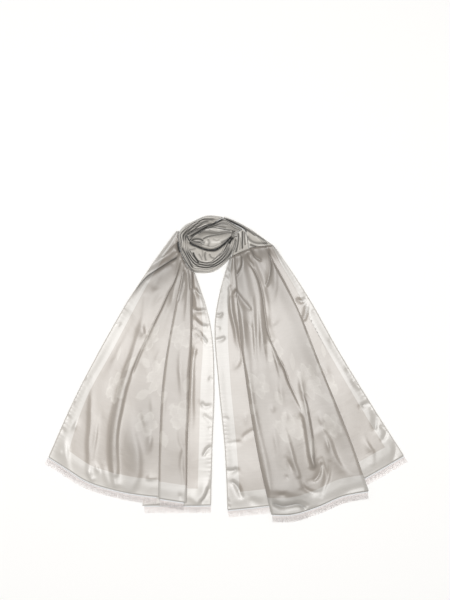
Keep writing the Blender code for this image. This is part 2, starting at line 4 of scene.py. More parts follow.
import bmesh
import bpy
import numpy as np
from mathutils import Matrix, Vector


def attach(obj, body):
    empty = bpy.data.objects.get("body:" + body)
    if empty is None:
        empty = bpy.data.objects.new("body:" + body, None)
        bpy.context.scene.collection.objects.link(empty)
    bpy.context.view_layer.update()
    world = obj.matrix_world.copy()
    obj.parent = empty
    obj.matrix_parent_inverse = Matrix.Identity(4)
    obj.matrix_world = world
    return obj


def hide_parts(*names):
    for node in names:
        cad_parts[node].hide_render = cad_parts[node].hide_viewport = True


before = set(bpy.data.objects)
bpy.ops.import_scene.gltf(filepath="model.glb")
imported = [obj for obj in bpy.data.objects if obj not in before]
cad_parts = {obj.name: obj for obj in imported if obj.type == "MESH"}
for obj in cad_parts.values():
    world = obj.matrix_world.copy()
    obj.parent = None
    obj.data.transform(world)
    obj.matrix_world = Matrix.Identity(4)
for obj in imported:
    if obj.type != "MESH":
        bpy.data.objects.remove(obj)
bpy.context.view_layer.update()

# An evening stole of ivory silk satin, laid flat with its cloth passed once round the neck place.
# All tables are in millimetres on the floor plan. The meshes are in metres, on the frame's origin.

mm = 0.001
footprintMiddle = (2.3, 0.7)  # the frame's origin in the tables
clothWidth = 700.0
clothLength = 1960.0
dropLength = 640.0  # from a hem to the seam below the neck
solidWall = 1.2  # the walls of the solids that the shells stand for
layerPitch = 2.2  # from one layer of loosely lying cloth to the next
shellWall = 0.6
floorGap = 0.05

Rail = namedtuple("Rail", "across neck upper middle lower hem")
Panel = namedtuple("Panel", "rails layers spacing free")
Fold = namedtuple("Fold", "line height width tail start end")
Groove = namedtuple("Groove", "line depth width")
Station = namedtuple("Station", "outer inner crest border")

# The warp lines that steer each drop: a place on the flat cloth, and five points in plan

leftRails = {
    "innerEdge": Rail(0, (-79, 246), (-37, 105), (-28, -42), (-33, -190), (-36.5, -340)),
    "innerBorder": Rail(43, (-79, 250), (-56, 104), (-62, -42), (-66, -190), (-70, -340.5)),
    "underFold": Rail(170, (-94, 264), (-112, 100), (-150, -42), (-185, -192), (-207, -341)),
    "stripFold": Rail(281, (-82.5, 249), (-83.5, 103), (-91, -42), (-95, -187), (-96.6, -332)),
    "pleatFold": Rail(349, (-101.5, 270), (-131, 123), (-155, -23), (-163.5, -172), (-166.4, -321.5)),
    "tuckFold": Rail(374, (-97, 266), (-119, 110), (-137, -35), (-141, -185), (-141, -320)),
    "overFold": Rail(441, (-106, 280), (-142, 135), (-182, -12), (-203, -160), (-207, -314.5)),
    "outerCrease": Rail(513, (-113.5, 300), (-157, 151), (-228, 10), (-265, -144), (-277, -302)),
    "outerMiddle": Rail(594, (-117, 322), (-186, 180), (-264, 40), (-318, -112), (-350, -278)),
    "outerBorder": Rail(657, (-120, 337), (-203, 196), (-278, 55), (-352, -84), (-402, -245)),
    "outerEdge": Rail(clothWidth, (-120, 348), (-219, 208), (-301, 70), (-375.6, -72.7), (-441.6, -220.3)),
}
rightRails = {
    "innerEdge": Rail(0, (10, 274), (-25, 122), (-16.6, -35.6), (-1.3, -192), (6, -352)),
    "innerBorder": Rail(43, (17, 277), (6, 121), (13, -36), (28, -194), (38, -349)),
    "stripFold": Rail(152, (32, 283), (54, 122), (86, -38), (122, -200), (157, -336)),
    "pleatFold": Rail(205, (23, 280), (34, 118), (54, -43), (80, -203), (115, -362)),
    "pleatLeft": Rail(258, (38, 284), (64, 123), (98, -36), (140, -202), (165, -362)),
    "deepGroove": Rail(325, (53, 293), (100, 128), (152, -22), (207, -195), (226, -345)),
    "pleatRight": Rail(404, (77, 301), (140, 142), (197, -10), (254, -174), (292, -317)),
    "outerFold": Rail(480, (100, 303.5), (178, 157), (240, 2), (301, -147), (357.5, -304)),
    "tuckFold": Rail(527, (93, 303), (160, 150), (207, -8), (260, -160), (312, -293)),
    "outerMiddle": Rail(615, (111, 306), (193, 170), (262, 25), (334, -117), (400, -243)),
    "outerBorder": Rail(657, (116, 308), (187, 170), (261, 37), (340, -98), (421, -231)),
    "outerEdge": Rail(clothWidth, (120, 309), (205.6, 181.4), (281.7, 46.4), (362.5, -85.7), (445.6, -216.3)),
}

# The cloth between two folds: its rails, its layer at each one, how far apart its columns of points
# stand, and where across the cloth it starts to rise freely and where it does so in full

leftPanels = (
    Panel(("innerEdge", "innerBorder", "underFold"), (0, 0, 0), 3.2, (112, 72)),
    Panel(("underFold", "stripFold"), (1, 1), 9.0, None),
    Panel(("stripFold", "pleatFold"), (5.6, 5.6), 2.5, (280, 281)),
    Panel(("pleatFold", "tuckFold"), (4.6, 4.6), 4.0, None),
    Panel(("tuckFold", "overFold", "outerCrease", "outerMiddle", "outerBorder", "outerEdge"),
          (2, 1.6, 0.8, 0.3, 0, 0), 3.0, (378, 400)),
)
rightPanels = (
    Panel(("innerEdge", "innerBorder", "stripFold"), (0, 0, 0), 3.0, (135, 98)),
    Panel(("stripFold", "pleatFold"), (2.4, 2.4), 5.0, None),
    Panel(("pleatFold", "pleatLeft", "deepGroove", "pleatRight", "outerFold"),
          (3.4, 2.6, 1.0, 1.0, 2.6), 2.6, (204, 205)),
    Panel(("outerFold", "tuckFold"), (1.6, 1.6), 5.0, None),
    Panel(("tuckFold", "outerMiddle", "outerBorder", "outerEdge"), (0, 0, 0, 0), 3.0, (532, 568)),
)

# Folds, listed by the number of their panel: the line of the steep flank from the neck downwards,
# the height, the half width of the flank, how far the raised cloth reaches (to one side of the line, or to
# the other where it is negative) and the share of the height at either end of the line. A negative height
# sinks the cloth.

leftFolds = {
    4: (
        Fold(((-117, 284), (-140, 268), (-160, 255), (-180, 242), (-200, 228), (-215, 210), (-232, 187), (-252, 166)),
             8.0, 3.8, 34.0, 1.0, 0.3),
        Fold(((-122, 294), (-146, 277), (-168, 263), (-190, 249), (-212, 230), (-236, 200)),
             6.0, 5.5, -20.0, 1.0, 0.0),
        Fold(((-112, 262), (-118, 245), (-129, 215), (-141, 193), (-151, 171), (-163, 145), (-175, 121), (-187, 96),
              (-198, 71), (-208, 50), (-219, 25)), 4.5, 1.8, 30.0, 0.8, 0.2),
        Fold(((-187, 96), (-208, 50), (-229, 0), (-247, -50), (-259, -105), (-265, -135), (-269, -170), (-269, -205),
              (-267, -240), (-268, -262)), 4.6, 2.8, -14.0, 0.0, 0.6),
        Fold(((-204, 180), (-210, 130), (-221, 90), (-234, 45), (-247, 5), (-260, -35), (-270, -70), (-278, -105),
              (-285, -140), (-288, -175), (-288, -210), (-286, -245), (-280, -290)), 4.8, 4.6, 14.0, 0.2, 1.0),
        Fold(((-333, -20), (-338, -60), (-340, -100), (-341, -140), (-345, -185), (-344, -225), (-345, -258)),
             3.0, 4.6, 13.0, 0.0, 0.7),
        Fold(((-310, -95), (-317, -135), (-321, -170), (-326, -205), (-331, -245)), 2.4, 3.4, -10.0, 0.0, 0.2),
        Fold(((-347, -246), (-344, -262), (-336, -278)), 3.2, 2.2, 10.0, 0.2, 1.0),
        Fold(((-322, -234), (-317, -248), (-311, -259)), 2.4, 1.8, -9.0, 0.2, 0.2),
        Fold(((-308, -240), (-304, -262), (-296, -288)), 2.0, 5.0, 16.0, 0.2, 1.0),
        Fold(((-398, -165), (-394, -195), (-392, -225), (-386, -252)), 3.2, 4.2, -20.0, 0.1, 0.3),
        Fold(((-410, -195), (-409, -220)), 1.4, 3.0, -9.0, 0.0, 0.0),
        Fold(((-371, -125), (-378, -140), (-385, -152)), 2.0, 2.2, 9.0, 0.2, 0.2),
        Fold(((-401, -111), (-392, -116), (-386, -123)), -2.2, 1.6, -7.0, 1.0, 0.2),
        Fold(((-413, -146), (-404, -150), (-399, -158)), -2.6, 1.9, -7.0, 1.0, 0.2),
        Fold(((-354, -20), (-346, -25)), -1.8, 1.8, -6.0, 1.0, 0.0),
        Fold(((-276, 114), (-266, 115), (-258, 112)), -1.6, 2.0, -7.0, 0.6, 0.0),
        Fold(((-382, -80), (-374, -84)), -1.6, 1.6, -6.0, 1.0, 0.0),
        Fold(((-222, -75), (-227, -125), (-222, -165), (-214, -200), (-211, -235), (-214, -270), (-230, -304)),
             4.2, 7.0, -32.0, 0.0, 0.9),
        Fold(((-210, -108), (-206, -128), (-200, -152)), 2.0, 2.8, 16.0, 0.2, 0.3),
        Fold(((-183, -145), (-184, -180), (-189, -216)), 2.6, 4.6, -12.0, 0.2, 0.0),
        Fold(((-203, -271), (-190, -275), (-176, -274)), 2.0, 3.0, 12.0, 0.0, 0.5),
        Fold(((-127, 222), (-134, 180), (-140, 138)), 2.4, 5.0, 16.0, 0.3, 0.0),
        Fold(((-204, 122), (-202, 96), (-198, 74)), 3.0, 3.0, -18.0, 0.1, 0.2),
        Fold(((-146, 194), (-164, 176), (-182, 148)), 1.6, 4.0, -14.0, 0.2, 0.0),
        Fold(((-165, 232), (-182, 208), (-178, 188)), 1.2, 5.0, 18.0, 0.1, 0.0),
        Fold(((-190, -60), (-186, -95), (-184, -140)), 1.0, 4.0, 9.0, 0.0, 0.2),
        Fold(((-150, 80), (-165, 50), (-176, 20), (-180, -20)), 1.2, 5.0, 14.0, 0.1, 0.1),
    ),
    2: (
        Fold(((-116, -95), (-118, -140), (-118, -165), (-113, -188), (-108, -200), (-112, -220), (-113, -245),
              (-107, -276), (-103, -294)), -1.8, 3.6, 12.0, 0.1, 0.9),
        Fold(((-114, 60), (-117, 10), (-114, -40), (-112, -80)), 1.8, 4.5, 12.0, 0.2, 0.2),
        Fold(((-104, 236), (-104, 208), (-112, 180), (-119, 150)), -2.6, 1.8, 8.0, 0.9, 0.0),
        Fold(((-94, 240), (-96, 200), (-100, 150), (-106, 90)), 2.0, 4.0, 10.0, 0.8, 0.0),
        Fold(((-146, -30), (-150, -90), (-152, -160)), 1.0, 4.0, -9.0, 0.0, 0.0),
        Fold(((-117, -310), (-113, -322)), -2.0, 2.6, 7.0, 0.3, 0.5),
    ),
    0: (
        Fold(((-72, 48), (-78, 20), (-79, -30), (-80, -80), (-79, -130), (-85, -180)), 2.4, 3.8, -14.0, 0.7, 0.0),
        Fold(((-80, 150), (-66, 147), (-48, 150)), -3.6, 2.6, -10.0, 1.0, 0.8),
        Fold(((-78, 202), (-66, 190), (-56, 181)), -3.0, 2.4, -9.0, 0.8, 0.6),
        Fold(((-76, 124), (-65, 112), (-54, 106), (-42, 109)), -3.8, 3.2, -11.0, 0.6, 0.8),
        Fold(((-86, 101), (-72, 92), (-62, 77), (-51, 60)), -3.6, 2.2, -8.0, 1.0, 0.2),
        Fold(((-85, 94), (-75, 84), (-66, 79)), -2.6, 1.8, -5.0, 0.8, 0.2),
        Fold(((-85, 75), (-73, 72), (-64, 78)), -2.2, 1.8, -5.0, 0.8, 0.0),
        Fold(((-88, 60), (-79, 49), (-66, 38)), 1.8, 3.0, -12.0, 0.6, 0.0),
        Fold(((-61, -80), (-54, -90), (-47, -92), (-38, -88)), -3.2, 2.4, -8.0, 0.2, 0.6),
        Fold(((-53, -108), (-46, -118), (-33, -127)), -3.2, 2.4, -8.0, 0.2, 1.0),
        Fold(((-60, -218), (-50, -204), (-43, -196), (-33, -192)), -3.2, 2.6, -9.0, 0.0, 1.0),
        Fold(((-36, -258), (-39, -285), (-45, -305), (-53, -321), (-66, -336)), 5.0, 3.4, -24.0, 0.2, 1.0),
        Fold(((-42, -18), (-31, -24)), -1.8, 2.0, -7.0, 0.0, 0.8),
        Fold(((-34, -150), (-44, -152)), -1.2, 2.0, -6.0, 1.0, 0.0),
        Fold(((-86, -20), (-90, -100), (-90, -200), (-91, -320)), 0.8, 4.5, 16.0, 0.5, 0.6),
    ),
}
rightFolds = {
    0: (
        Fold(((8, 205), (8, 180), (10, 150), (16, 122), (22, 97), (23, 68)), 3.0, 2.4, 9.0, 0.6, 0.1),
        Fold(((18, 188), (20, 150), (24, 125), (29, 100), (33, 75), (38, 48), (40, 22)), 3.0, 2.6, -9.0, 0.8, 0.1),
        Fold(((8, 196), (17, 189), (27, 197)), -3.4, 3.8, -9.0, 0.4, 0.8),
        Fold(((-9, 246), (-1, 235), (8, 226), (15, 212)), -3.0, 2.2, -7.0, 1.0, 0.3),
        Fold(((-4, 258), (6, 250), (14, 240), (17, 215)), -2.8, 2.2, -7.0, 1.0, 0.2),
        Fold(((-24, 138), (-16, 136), (-7, 140)), -2.8, 2.6, -7.0, 1.0, 0.1),
        Fold(((-24, 74), (-12, 76), (1, 80)), -2.8, 2.4, -7.0, 1.0, 0.2),
        Fold(((-22, 106), (-10, 104)), -1.4, 2.0, -6.0, 0.8, 0.0),
        Fold(((-20, 190), (-10, 196), (0, 214)), 1.6, 3.0, 9.0, 0.6, 0.2),
        Fold(((12, -4), (28, 3), (37, 18), (36, 38)), 1.8, 4.0, 14.0, 0.1, 0.2),
        Fold(((38, -176), (48, -163), (68, -150)), -2.4, 3.4, -9.0, 0.1, 0.8),
        Fold(((48, -100), (47, -145)), 1.0, 4.0, 9.0, 0.0, 0.0),
        Fold(((8, -182), (30, -180), (44, -178)), -1.8, 3.2, -8.0, 0.6, 0.0),
        Fold(((1, -251), (14, -253), (30, -248)), -4.6, 2.8, -9.0, 1.0, 0.3),
        Fold(((15, -281), (28, -288), (36, -300), (43, -316)), -4.2, 3.0, -9.0, 0.3, 0.8),
        Fold(((4, -323), (12, -332)), -2.4, 1.8, -6.0, 1.0, 0.0),
        Fold(((6, -338), (15, -346)), -2.4, 1.8, -6.0, 1.0, 0.0),
        Fold(((-8, -118), (14, -122)), -1.2, 2.4, -7.0, 0.8, 0.0),
        Fold(((56, -318), (64, -334), (80, -344)), -3.0, 4.4, 13.0, 0.2, 0.8),
    ),
    2: (
        Fold(((24, 196), (35, 183), (45, 169), (55, 157), (66, 146)), -4.0, 3.8, -11.0, 0.6, 0.2),
        Fold(((50, 124), (60, 113), (70, 101)), -1.8, 4.4, -10.0, 0.2, 0.1),
        Fold(((36, 172), (40, 125), (44, 78), (50, 30)), 3.0, 3.6, 10.0, 0.2, 0.1),
        Fold(((66, 176), (69, 110), (72, 50), (76, -6)), 2.2, 3.2, 8.0, 0.2, 0.1),
        Fold(((93, 156), (96, 100), (100, 50), (106, 4)), 2.0, 3.2, -8.0, 0.2, 0.1),
        Fold(((58, 125), (61, 60), (63, 0), (66, -40), (73, -90), (86, -150), (98, -200), (108, -245), (113, -290),
              (117, -325)), 1.9, 5.0, -15.0, 0.1, 0.7),
        Fold(((76, 210), (82, 155), (85, 100), (86, 50), (89, 10)), 3.2, 4.2, 11.0, 0.2, 0.0),
        Fold(((50, 272), (62, 261), (70, 250), (78, 235), (84, 220), (88, 205), (92, 188), (95, 168), (97, 148),
              (100, 128), (103, 105), (108, 86), (114, 72)), -5.2, 3.6, 11.0, 0.3, 0.5),
        Fold(((108, 84), (112, 74), (118, 61), (125, 47), (132, 30), (138, 15), (147, 0), (153, -20), (159, -35),
              (166, -50), (174, -68), (183, -88), (190, -106)), 4.4, 1.9, -24.0, 0.4, 0.5),
        Fold(((110, 74), (116, 52), (121, 34), (127, 12), (133, -14), (138, -40)), 1.8, 2.0, 9.0, 0.6, 0.0),
        Fold(((176, -74), (186, -95), (193, -118), (199, -150), (204, -185), (209, -218), (219, -240)),
             4.8, 3.6, 9.0, 0.1, 1.0),
        Fold(((186, 10), (190, -30), (197, -58), (203, -80), (208, -108), (213, -135), (218, -162), (221, -190),
              (222, -216), (223, -242)), 6.0, 3.6, -10.0, 0.0, 1.0),
        Fold(((180, 8), (184, -25), (192, -60), (199, -86)), 2.4, 7.0, 14.0, 0.1, 0.0),
        Fold(((227, -100), (236, -130), (244, -150)), 2.0, 4.6, 12.0, 0.0, 0.5),
        Fold(((246, -150), (257, -165), (265, -180), (271, -200), (279, -220), (289, -238), (300, -250), (311, -259)),
             4.2, 4.0, -22.0, 0.5, 0.1),
        Fold(((252, -170), (258, -190), (263, -212)), 1.8, 1.8, -7.0, 0.2, 0.0),
        Fold(((264, -232), (262, -255), (258, -275), (250, -296), (243, -318)), -4.0, 3.0, -9.0, 0.2, 0.2),
        Fold(((235, -228), (237, -250), (234, -265), (225, -277), (208, -284)), -3.6, 2.8, -8.0, 0.3, 0.2),
        Fold(((243, -222), (250, -245), (253, -266), (247, -290)), -2.6, 2.2, -7.0, 0.3, 0.1),
        Fold(((188, -272), (196, -290), (207, -300), (221, -305), (240, -303)), -4.0, 2.8, -8.0, 0.6, 0.1),
        Fold(((151, -146), (158, -165), (163, -185), (170, -210), (176, -235), (182, -250), (188, -272), (194, -292)),
             2.6, 2.2, -12.0, 0.2, 0.9),
        Fold(((154, -220), (164, -238), (172, -262)), -2.4, 3.4, -9.0, 0.3, 0.1),
        Fold(((153, -260), (158, -278)), -1.2, 2.6, -6.0, 0.0, 0.0),
        Fold(((120, -326), (133, -335), (147, -340), (162, -337), (176, -336)), -6.0, 4.4, -9.0, 0.4, 0.6),
        Fold(((176, -331), (190, -332), (206, -338)), -5.0, 3.2, -7.0, 0.6, 0.5),
        Fold(((197, -347), (212, -350), (226, -344)), -5.0, 4.0, -8.0, 0.5, 0.3),
        Fold(((128, -308), (142, -310), (152, -305)), -2.0, 2.6, -7.0, 0.2, 0.2),
        Fold(((112, -306), (150, -312), (196, -318)), 3.4, 8.0, 34.0, 0.6, 0.5),
        Fold(((290, -330), (306, -313), (322, -305), (344, -300)), 2.6, 4.4, -16.0, 0.2, 0.8),
        Fold(((40, 282), (42, 264), (36, 246), (24, 232)), 2.6, 2.6, -9.0, 0.9, 0.0),
        Fold(((56, 288), (53, 274), (60, 262), (74, 254)), -3.0, 2.2, 7.0, 0.8, 0.1),
        Fold(((64, 302), (69, 289), (77, 278), (92, 274)), -3.6, 2.4, 7.0, 1.0, 0.1),
        Fold(((106, 304), (110, 284), (113, 262), (112, 240), (108, 220), (102, 204)), -4.6, 3.2, -9.0, 0.8, 0.2),
        Fold(((124, 296), (127, 262), (128, 235), (129, 208), (126, 182), (121, 156)), 3.4, 5.4, -16.0, 0.6, 0.0),
        Fold(((148, 270), (156, 240), (160, 212)), 1.8, 6.0, 18.0, 0.6, 0.0),
        Fold(((109, 150), (106, 122), (108, 100)), 1.2, 4.4, 10.0, 0.0, 0.0),
        Fold(((110, 98), (125, 114), (146, 128)), 1.2, 4.6, 18.0, 0.1, 0.0),
        Fold(((111, -88), (118, -112)), 1.2, 3.0, 8.0, 0.0, 0.0),
        Fold(((114, -120), (119, -160), (125, -200), (129, -260)), 1.6, 4.4, 12.0, 0.1, 0.1),
        Fold(((148, -98), (150, -140)), 1.2, 3.0, 8.0, 0.0, 0.0),
        Fold(((131, -16), (135, -60), (144, -100)), 1.8, 4.0, 12.0, 0.1, 0.0),
        Fold(((262, -60), (282, -110), (300, -165), (318, -215)), 1.4, 6.0, -20.0, 0.1, 0.2),
    ),
    4: (
        Fold(((184, 175), (192, 173), (201, 180)), -4.4, 3.2, -8.0, 0.8, 0.5),
        Fold(((212, 174), (207, 155), (204, 140), (199, 124)), -4.4, 2.9, -8.0, 0.5, 1.0),
        Fold(((201, 198), (205, 180)), -2.0, 2.2, -6.0, 0.6, 0.0),
        Fold(((208, 144), (222, 148), (230, 144)), -1.4, 2.4, -7.0, 0.2, 0.5),
        Fold(((259, 64), (266, 72), (272, 80)), -1.6, 2.4, 7.0, 0.0, 0.6),
        Fold(((320, -28), (330, -38), (342, -46)), -3.0, 2.6, -7.0, 0.3, 1.0),
        Fold(((336, -90), (350, -86), (366, -80)), -4.6, 3.6, -9.0, 0.2, 0.6),
        Fold(((364, -88), (370, -102)), -2.4, 1.8, -6.0, 0.6, 0.2),
        Fold(((379, -110), (377, -130), (375, -154)), -4.2, 3.0, -9.0, 0.9, 0.2),
        Fold(((386, -138), (398, -146)), -3.0, 2.2, -6.0, 0.2, 0.8),
        Fold(((405, -156), (401, -170), (393, -180)), -3.8, 2.8, -7.0, 0.8, 0.3),
        Fold(((428, -186), (428, -210), (421, -232)), -3.0, 4.0, -9.0, 0.4, 0.6),
        Fold(((349, -162), (355, -180), (363, -194), (371, -206), (372, -236)), 2.4, 3.2, -12.0, 0.1, 0.3),
        Fold(((304, 4), (312, -4)), -2.0, 1.8, -6.0, 0.6, 0.2),
        Fold(((232, 18), (250, -10), (262, -44)), 1.2, 4.0, 12.0, 0.1, 0.1),
    ),
}

# The seed of each drop's waves, how far it rises where it comes out from below the neck, and its painted light
# and shade over the whole drop: the left drop painted lighter, the right one darker, both of one satin

drops = {
    "left": {"panels": leftPanels, "rails": leftRails, "folds": leftFolds,
             "seed": 1.7, "lift": 3.0, "paintedLightTone": 1.05},
    "right": {"panels": rightPanels, "rails": rightRails, "folds": rightFolds,
              "seed": 5.3, "lift": 6.0, "paintedLightTone": 0.94},
}

# How the drops lie: the round of a fold, gathers that grow towards the neck, and slow waves all over

lay = {
    "rows": 186,
    "foldSteps": 8,
    "foldRound": 1.3,  # how far the round of a pressed fold reaches outwards
    "foldShoulder": 9.0,
    "foldDroop": 1.5,  # how far cloth sinks towards a fold, and over what distance
    "foldDroopReach": 1.8,
    "foldDroopLayer": 1.5,  # only cloth on more layers than this sinks so
    "foldReach": 2.4,  # a listed fold is felt this many times its tail or flank away
    "foldEnding": (1.5, 0.42),  # and fades past its line's ends over these shares of its flank and tail
    "grooveReach": 4.0,
    "grooveEnding": 0.1,  # the share of a groove's line over which it deepens from either end
    "gatherWidth": 58.0,
    "gatherHeight": 1.3,
    "gatherReach": 0.3,
    "gatherFade": 1.7,
    "restHeight": 2.4,
    "edgeRest": 0.5,  # the share of that height which is left at an edge, and how far in it is whole
    "edgeReach": 30.0,
    "contactSoftness": 1.2,
    "waveHeight": 0.5,
    "waveLengths": (173.0, 117.0, 71.0),
    "puckerHeight": 0.9,
    "puckerPitch": 10.5,
    "puckerReach": 12.0,
}


def placed(points):  # points of the tables as places on the frame, in metres
    shifted = np.array(points, float)
    shifted[..., 0] -= footprintMiddle[0]
    shifted[..., 1] -= footprintMiddle[1]
    return shifted * mm


def smoothStep(value):  # an even passage from 0 to 1
    clipped = np.clip(value, 0.0, 1.0)
    return clipped * clipped * (3.0 - 2.0 * clipped)


def spline(knots, points, where):  # a smooth curve through the points, read at the places asked for
    knots = np.asarray(knots, float)
    points = np.asarray(points, float)
    where = np.clip(np.asarray(where, float), knots[0], knots[-1])
    slopes = np.empty_like(points)
    spans = np.diff(knots)[:, None]
    secants = np.diff(points, axis=0) / spans
    slopes[0], slopes[-1] = secants[0], secants[-1]
    if len(knots) > 2:
        slopes[1:-1] = (secants[:-1] * spans[1:] + secants[1:] * spans[:-1]) / (spans[:-1] + spans[1:])
        slopes[0] = 1.5 * secants[0] - 0.5 * slopes[1]
        slopes[-1] = 1.5 * secants[-1] - 0.5 * slopes[-2]
    index = np.clip(np.searchsorted(knots, where, side="right") - 1, 0, len(knots) - 2)
    span = spans[index]
    part = (where - knots[index])[:, None] / span
    square, cube = part * part, part * part * part
    return ((2 * cube - 3 * square + 1) * points[index] + (cube - 2 * square + part) * span * slopes[index]
            + (3 * square - 2 * cube) * points[index + 1] + (cube - square) * span * slopes[index + 1])


def lineAt(places, line):  # for each place: its distance from a line, signed, and how far along and past it
    line = np.asarray(line, float)
    curve = spline(np.linspace(0, 1, len(line)), line, np.linspace(0, 1, 8 * len(line)))
    start, run = curve[:-1], np.diff(curve, axis=0)
    length = np.linalg.norm(run, axis=1)
    offset = places[:, None, :] - start[None]
    part = (offset * run[None]).sum(axis=2) / (length ** 2)[None]
    held = np.clip(part, 0.0, 1.0)
    gap = np.linalg.norm(offset - held[..., None] * run[None], axis=2)
    nearest = gap.argmin(axis=1)
    rows = np.arange(len(places))
    part, offset, run, length = part[rows, nearest], offset[rows, nearest], run[nearest], length[nearest]
    side = (run[:, 0] * offset[:, 1] - run[:, 1] * offset[:, 0]) / length
    past = np.maximum(0.0, np.maximum(-part, part - 1.0)) * length
    past[(nearest > 0) & (nearest < len(start) - 1)] = 0.0
    return side, (nearest + np.clip(part, 0.0, 1.0)) / len(start), past, gap[rows, nearest]


def closeTo(places, line, reach):  # which places lie in the line's box, widened by the reach
    line = np.asarray(line, float)
    return np.all((places > line.min(axis=0) - reach) & (places < line.max(axis=0) + reach), axis=1)


def foldRelief(places, fold):  # what one fold adds to the height at each place
    height = np.zeros(len(places))
    reach = lay["foldReach"] * max(abs(fold.tail), fold.width)
    near = closeTo(places, fold.line, reach)
    if not near.any():
        return height
    side, along, past, _ = lineAt(places[near], fold.line)
    size = np.where(along < 0.5, fold.start + (1.0 - fold.start) * smoothStep(2.0 * along),
                    fold.end + (1.0 - fold.end) * smoothStep(2.0 - 2.0 * along))
    side = side * math.copysign(1.0, fold.tail)
    flank = 0.5 + 0.5 * np.tanh(side / fold.width)
    raised = np.exp(-(np.maximum(side, 0.0) / abs(fold.tail)) ** 2)
    ending = max(lay["foldEnding"][0] * fold.width, lay["foldEnding"][1] * abs(fold.tail))
    height[near] = fold.height * size * flank * raised * np.exp(-(past / ending) ** 2)
    return height


def grooveRelief(places, groove):  # a narrow valley between two folds that lie close
    height = np.zeros(len(places))
    near = closeTo(places, groove.line, lay["grooveReach"] * groove.width)
    if near.any():
        _, along, _, gap = lineAt(places[near], groove.line)
        ends = smoothStep(along / lay["grooveEnding"]) * smoothStep((1.0 - along) / lay["grooveEnding"])
        height[near] = -groove.depth * ends * np.exp(-(gap / groove.width) ** 1.5)
    return height


def keptAbove(height):  # cloth that would sink lies on what is below it
    soft = lay["contactSoftness"]
    return 0.5 * (height + np.sqrt(height ** 2 + soft ** 2))


def slowWaves(places, seed):  # the cloth is nowhere quite flat
    height = np.zeros(len(places))
    for number, length in enumerate(lay["waveLengths"]):
        turn = seed + 2.1 * number
        direction = np.array([math.cos(turn), math.sin(turn)])
        across = np.array([-direction[1], direction[0]])
        bend = 0.8 * np.sin(places @ across / length * 2.3 + turn)
        height += np.sin(places @ direction / length * 2 * math.pi + bend + turn) / (number + 1)
    return height * lay["waveHeight"]


def edgePuckers(edge, along, seed):  # a hand rolled edge draws the cloth into small puckers
    wander = 0.9 * np.sin(along / 31.0 + seed) + 0.6 * np.sin(along / 17.0 + 2.0 * seed)
    size = 0.55 + 0.45 * np.sin(along / 47.0 + 3.0 * seed)
    wave = np.sin(along / lay["puckerPitch"] * 2 * math.pi + wander)
    return lay["puckerHeight"] * size * wave * np.exp(-edge / lay["puckerReach"])


def gathers(across, downs, seed):  # folds that grow towards the neck, each of its own width and length
    across, down = across[None, :], downs[:, None]
    wander = 0.8 * np.sin(across / 61.0 + seed) + 0.5 * np.sin(across / 23.0 + 3.0 * seed) + 0.7 * down * seed
    reach = lay["gatherReach"] * (0.75 + 0.25 * np.sin(across / 37.0 + 2.0 * seed))
    nearNeck = np.clip(1.0 - down / reach, 0.0, 1.0) ** lay["gatherFade"]
    size = lay["gatherHeight"] * (0.65 + 0.35 * np.sin(across / 29.0 + 5.0 * seed))
    return size * nearNeck * (0.5 - 0.5 * np.cos(2 * math.pi * across / lay["gatherWidth"] + wander))


def foldRadius(panels, index):  # half the height between a panel and the next, where the cloth turns back
    return abs(panels[index + 1].layers[0] - panels[index].layers[-1]) * layerPitch / 2


def panelSurface(drop, index, downs):  # one panel: its points row by row, and its places across the cloth
    panels, seed = drop["panels"], drop["seed"]
    panel = panels[index]
    rails = [drop["rails"][name] for name in panel.rails]
    posts = np.stack([spline(np.linspace(0, 1, len(rail[1:])), rail[1:], downs) for rail in rails], axis=1)
    before = 0.0 if index == 0 else min(foldRadius(panels, index - 1), lay["foldRound"])
    after = 0.0 if index == len(panels) - 1 else min(foldRadius(panels, index), lay["foldRound"])
    first, last = posts[:, 1] - posts[:, 0], posts[:, -1] - posts[:, -2]
    posts[:, 0] += first / np.linalg.norm(first, axis=1, keepdims=True) * before
    posts[:, -1] -= last / np.linalg.norm(last, axis=1, keepdims=True) * after
    knots = np.array([rail.across for rail in rails], float)
    way = 1.0 if knots[-1] > knots[0] else -1.0
    knots = knots * way
    columns = max(2, round((knots[-1] - knots[0]) / panel.spacing))
    across = np.linspace(knots[0], knots[-1], columns + 1)
    plan = np.array([spline(knots, row, across) for row in posts])
    layer = np.interp(across, knots, panel.layers)
    for start, end, low, high in zip(knots, knots[1:], panel.layers, panel.layers[1:]):
        inside = (across >= start) & (across <= end)
        layer[inside] = low + (high - low) * smoothStep((across[inside] - start) / (end - start))
    height = np.tile(shellWall / 2 + floorGap + layer * layerPitch, (len(downs), 1))
    if panel.free is not None:
        free = smoothStep((across * way - panel.free[0]) / (panel.free[1] - panel.free[0]))
        pressed = np.ones(len(across))
        for inset, distance in ((before, across - across[0]), (after, across[-1] - across)):
            if inset:
                pressed = pressed * smoothStep(distance / lay["foldShoulder"])
        places = plan.reshape(-1, 2)
        relief = slowWaves(places, seed)
        for fold in drop["folds"].get(index, ()):
            relief += foldRelief(places, fold)
        relief = (relief.reshape(height.shape) + gathers(across, downs, seed)) * pressed
        edge = np.minimum(across * way, clothWidth - across * way)[None, :]
        edge = np.minimum(edge, (1.0 - downs)[:, None] * dropLength)
        edgeShare = lay["edgeRest"] + (1.0 - lay["edgeRest"]) * smoothStep(edge / lay["edgeReach"])
        height = height + free * keptAbove(relief + lay["restHeight"] * edgeShare)
    for inset, distance in ((before, plan - plan[:, :1]), (after, plan - plan[:, -1:])):
        if inset and min(panel.layers[0], panel.layers[-1]) > lay["foldDroopLayer"]:
            gap = np.linalg.norm(distance, axis=2)
            height = height - lay["foldDroop"] * np.exp(-(gap / lay["foldDroopReach"]) ** 2)
    return np.dstack([plan, height]), across * way


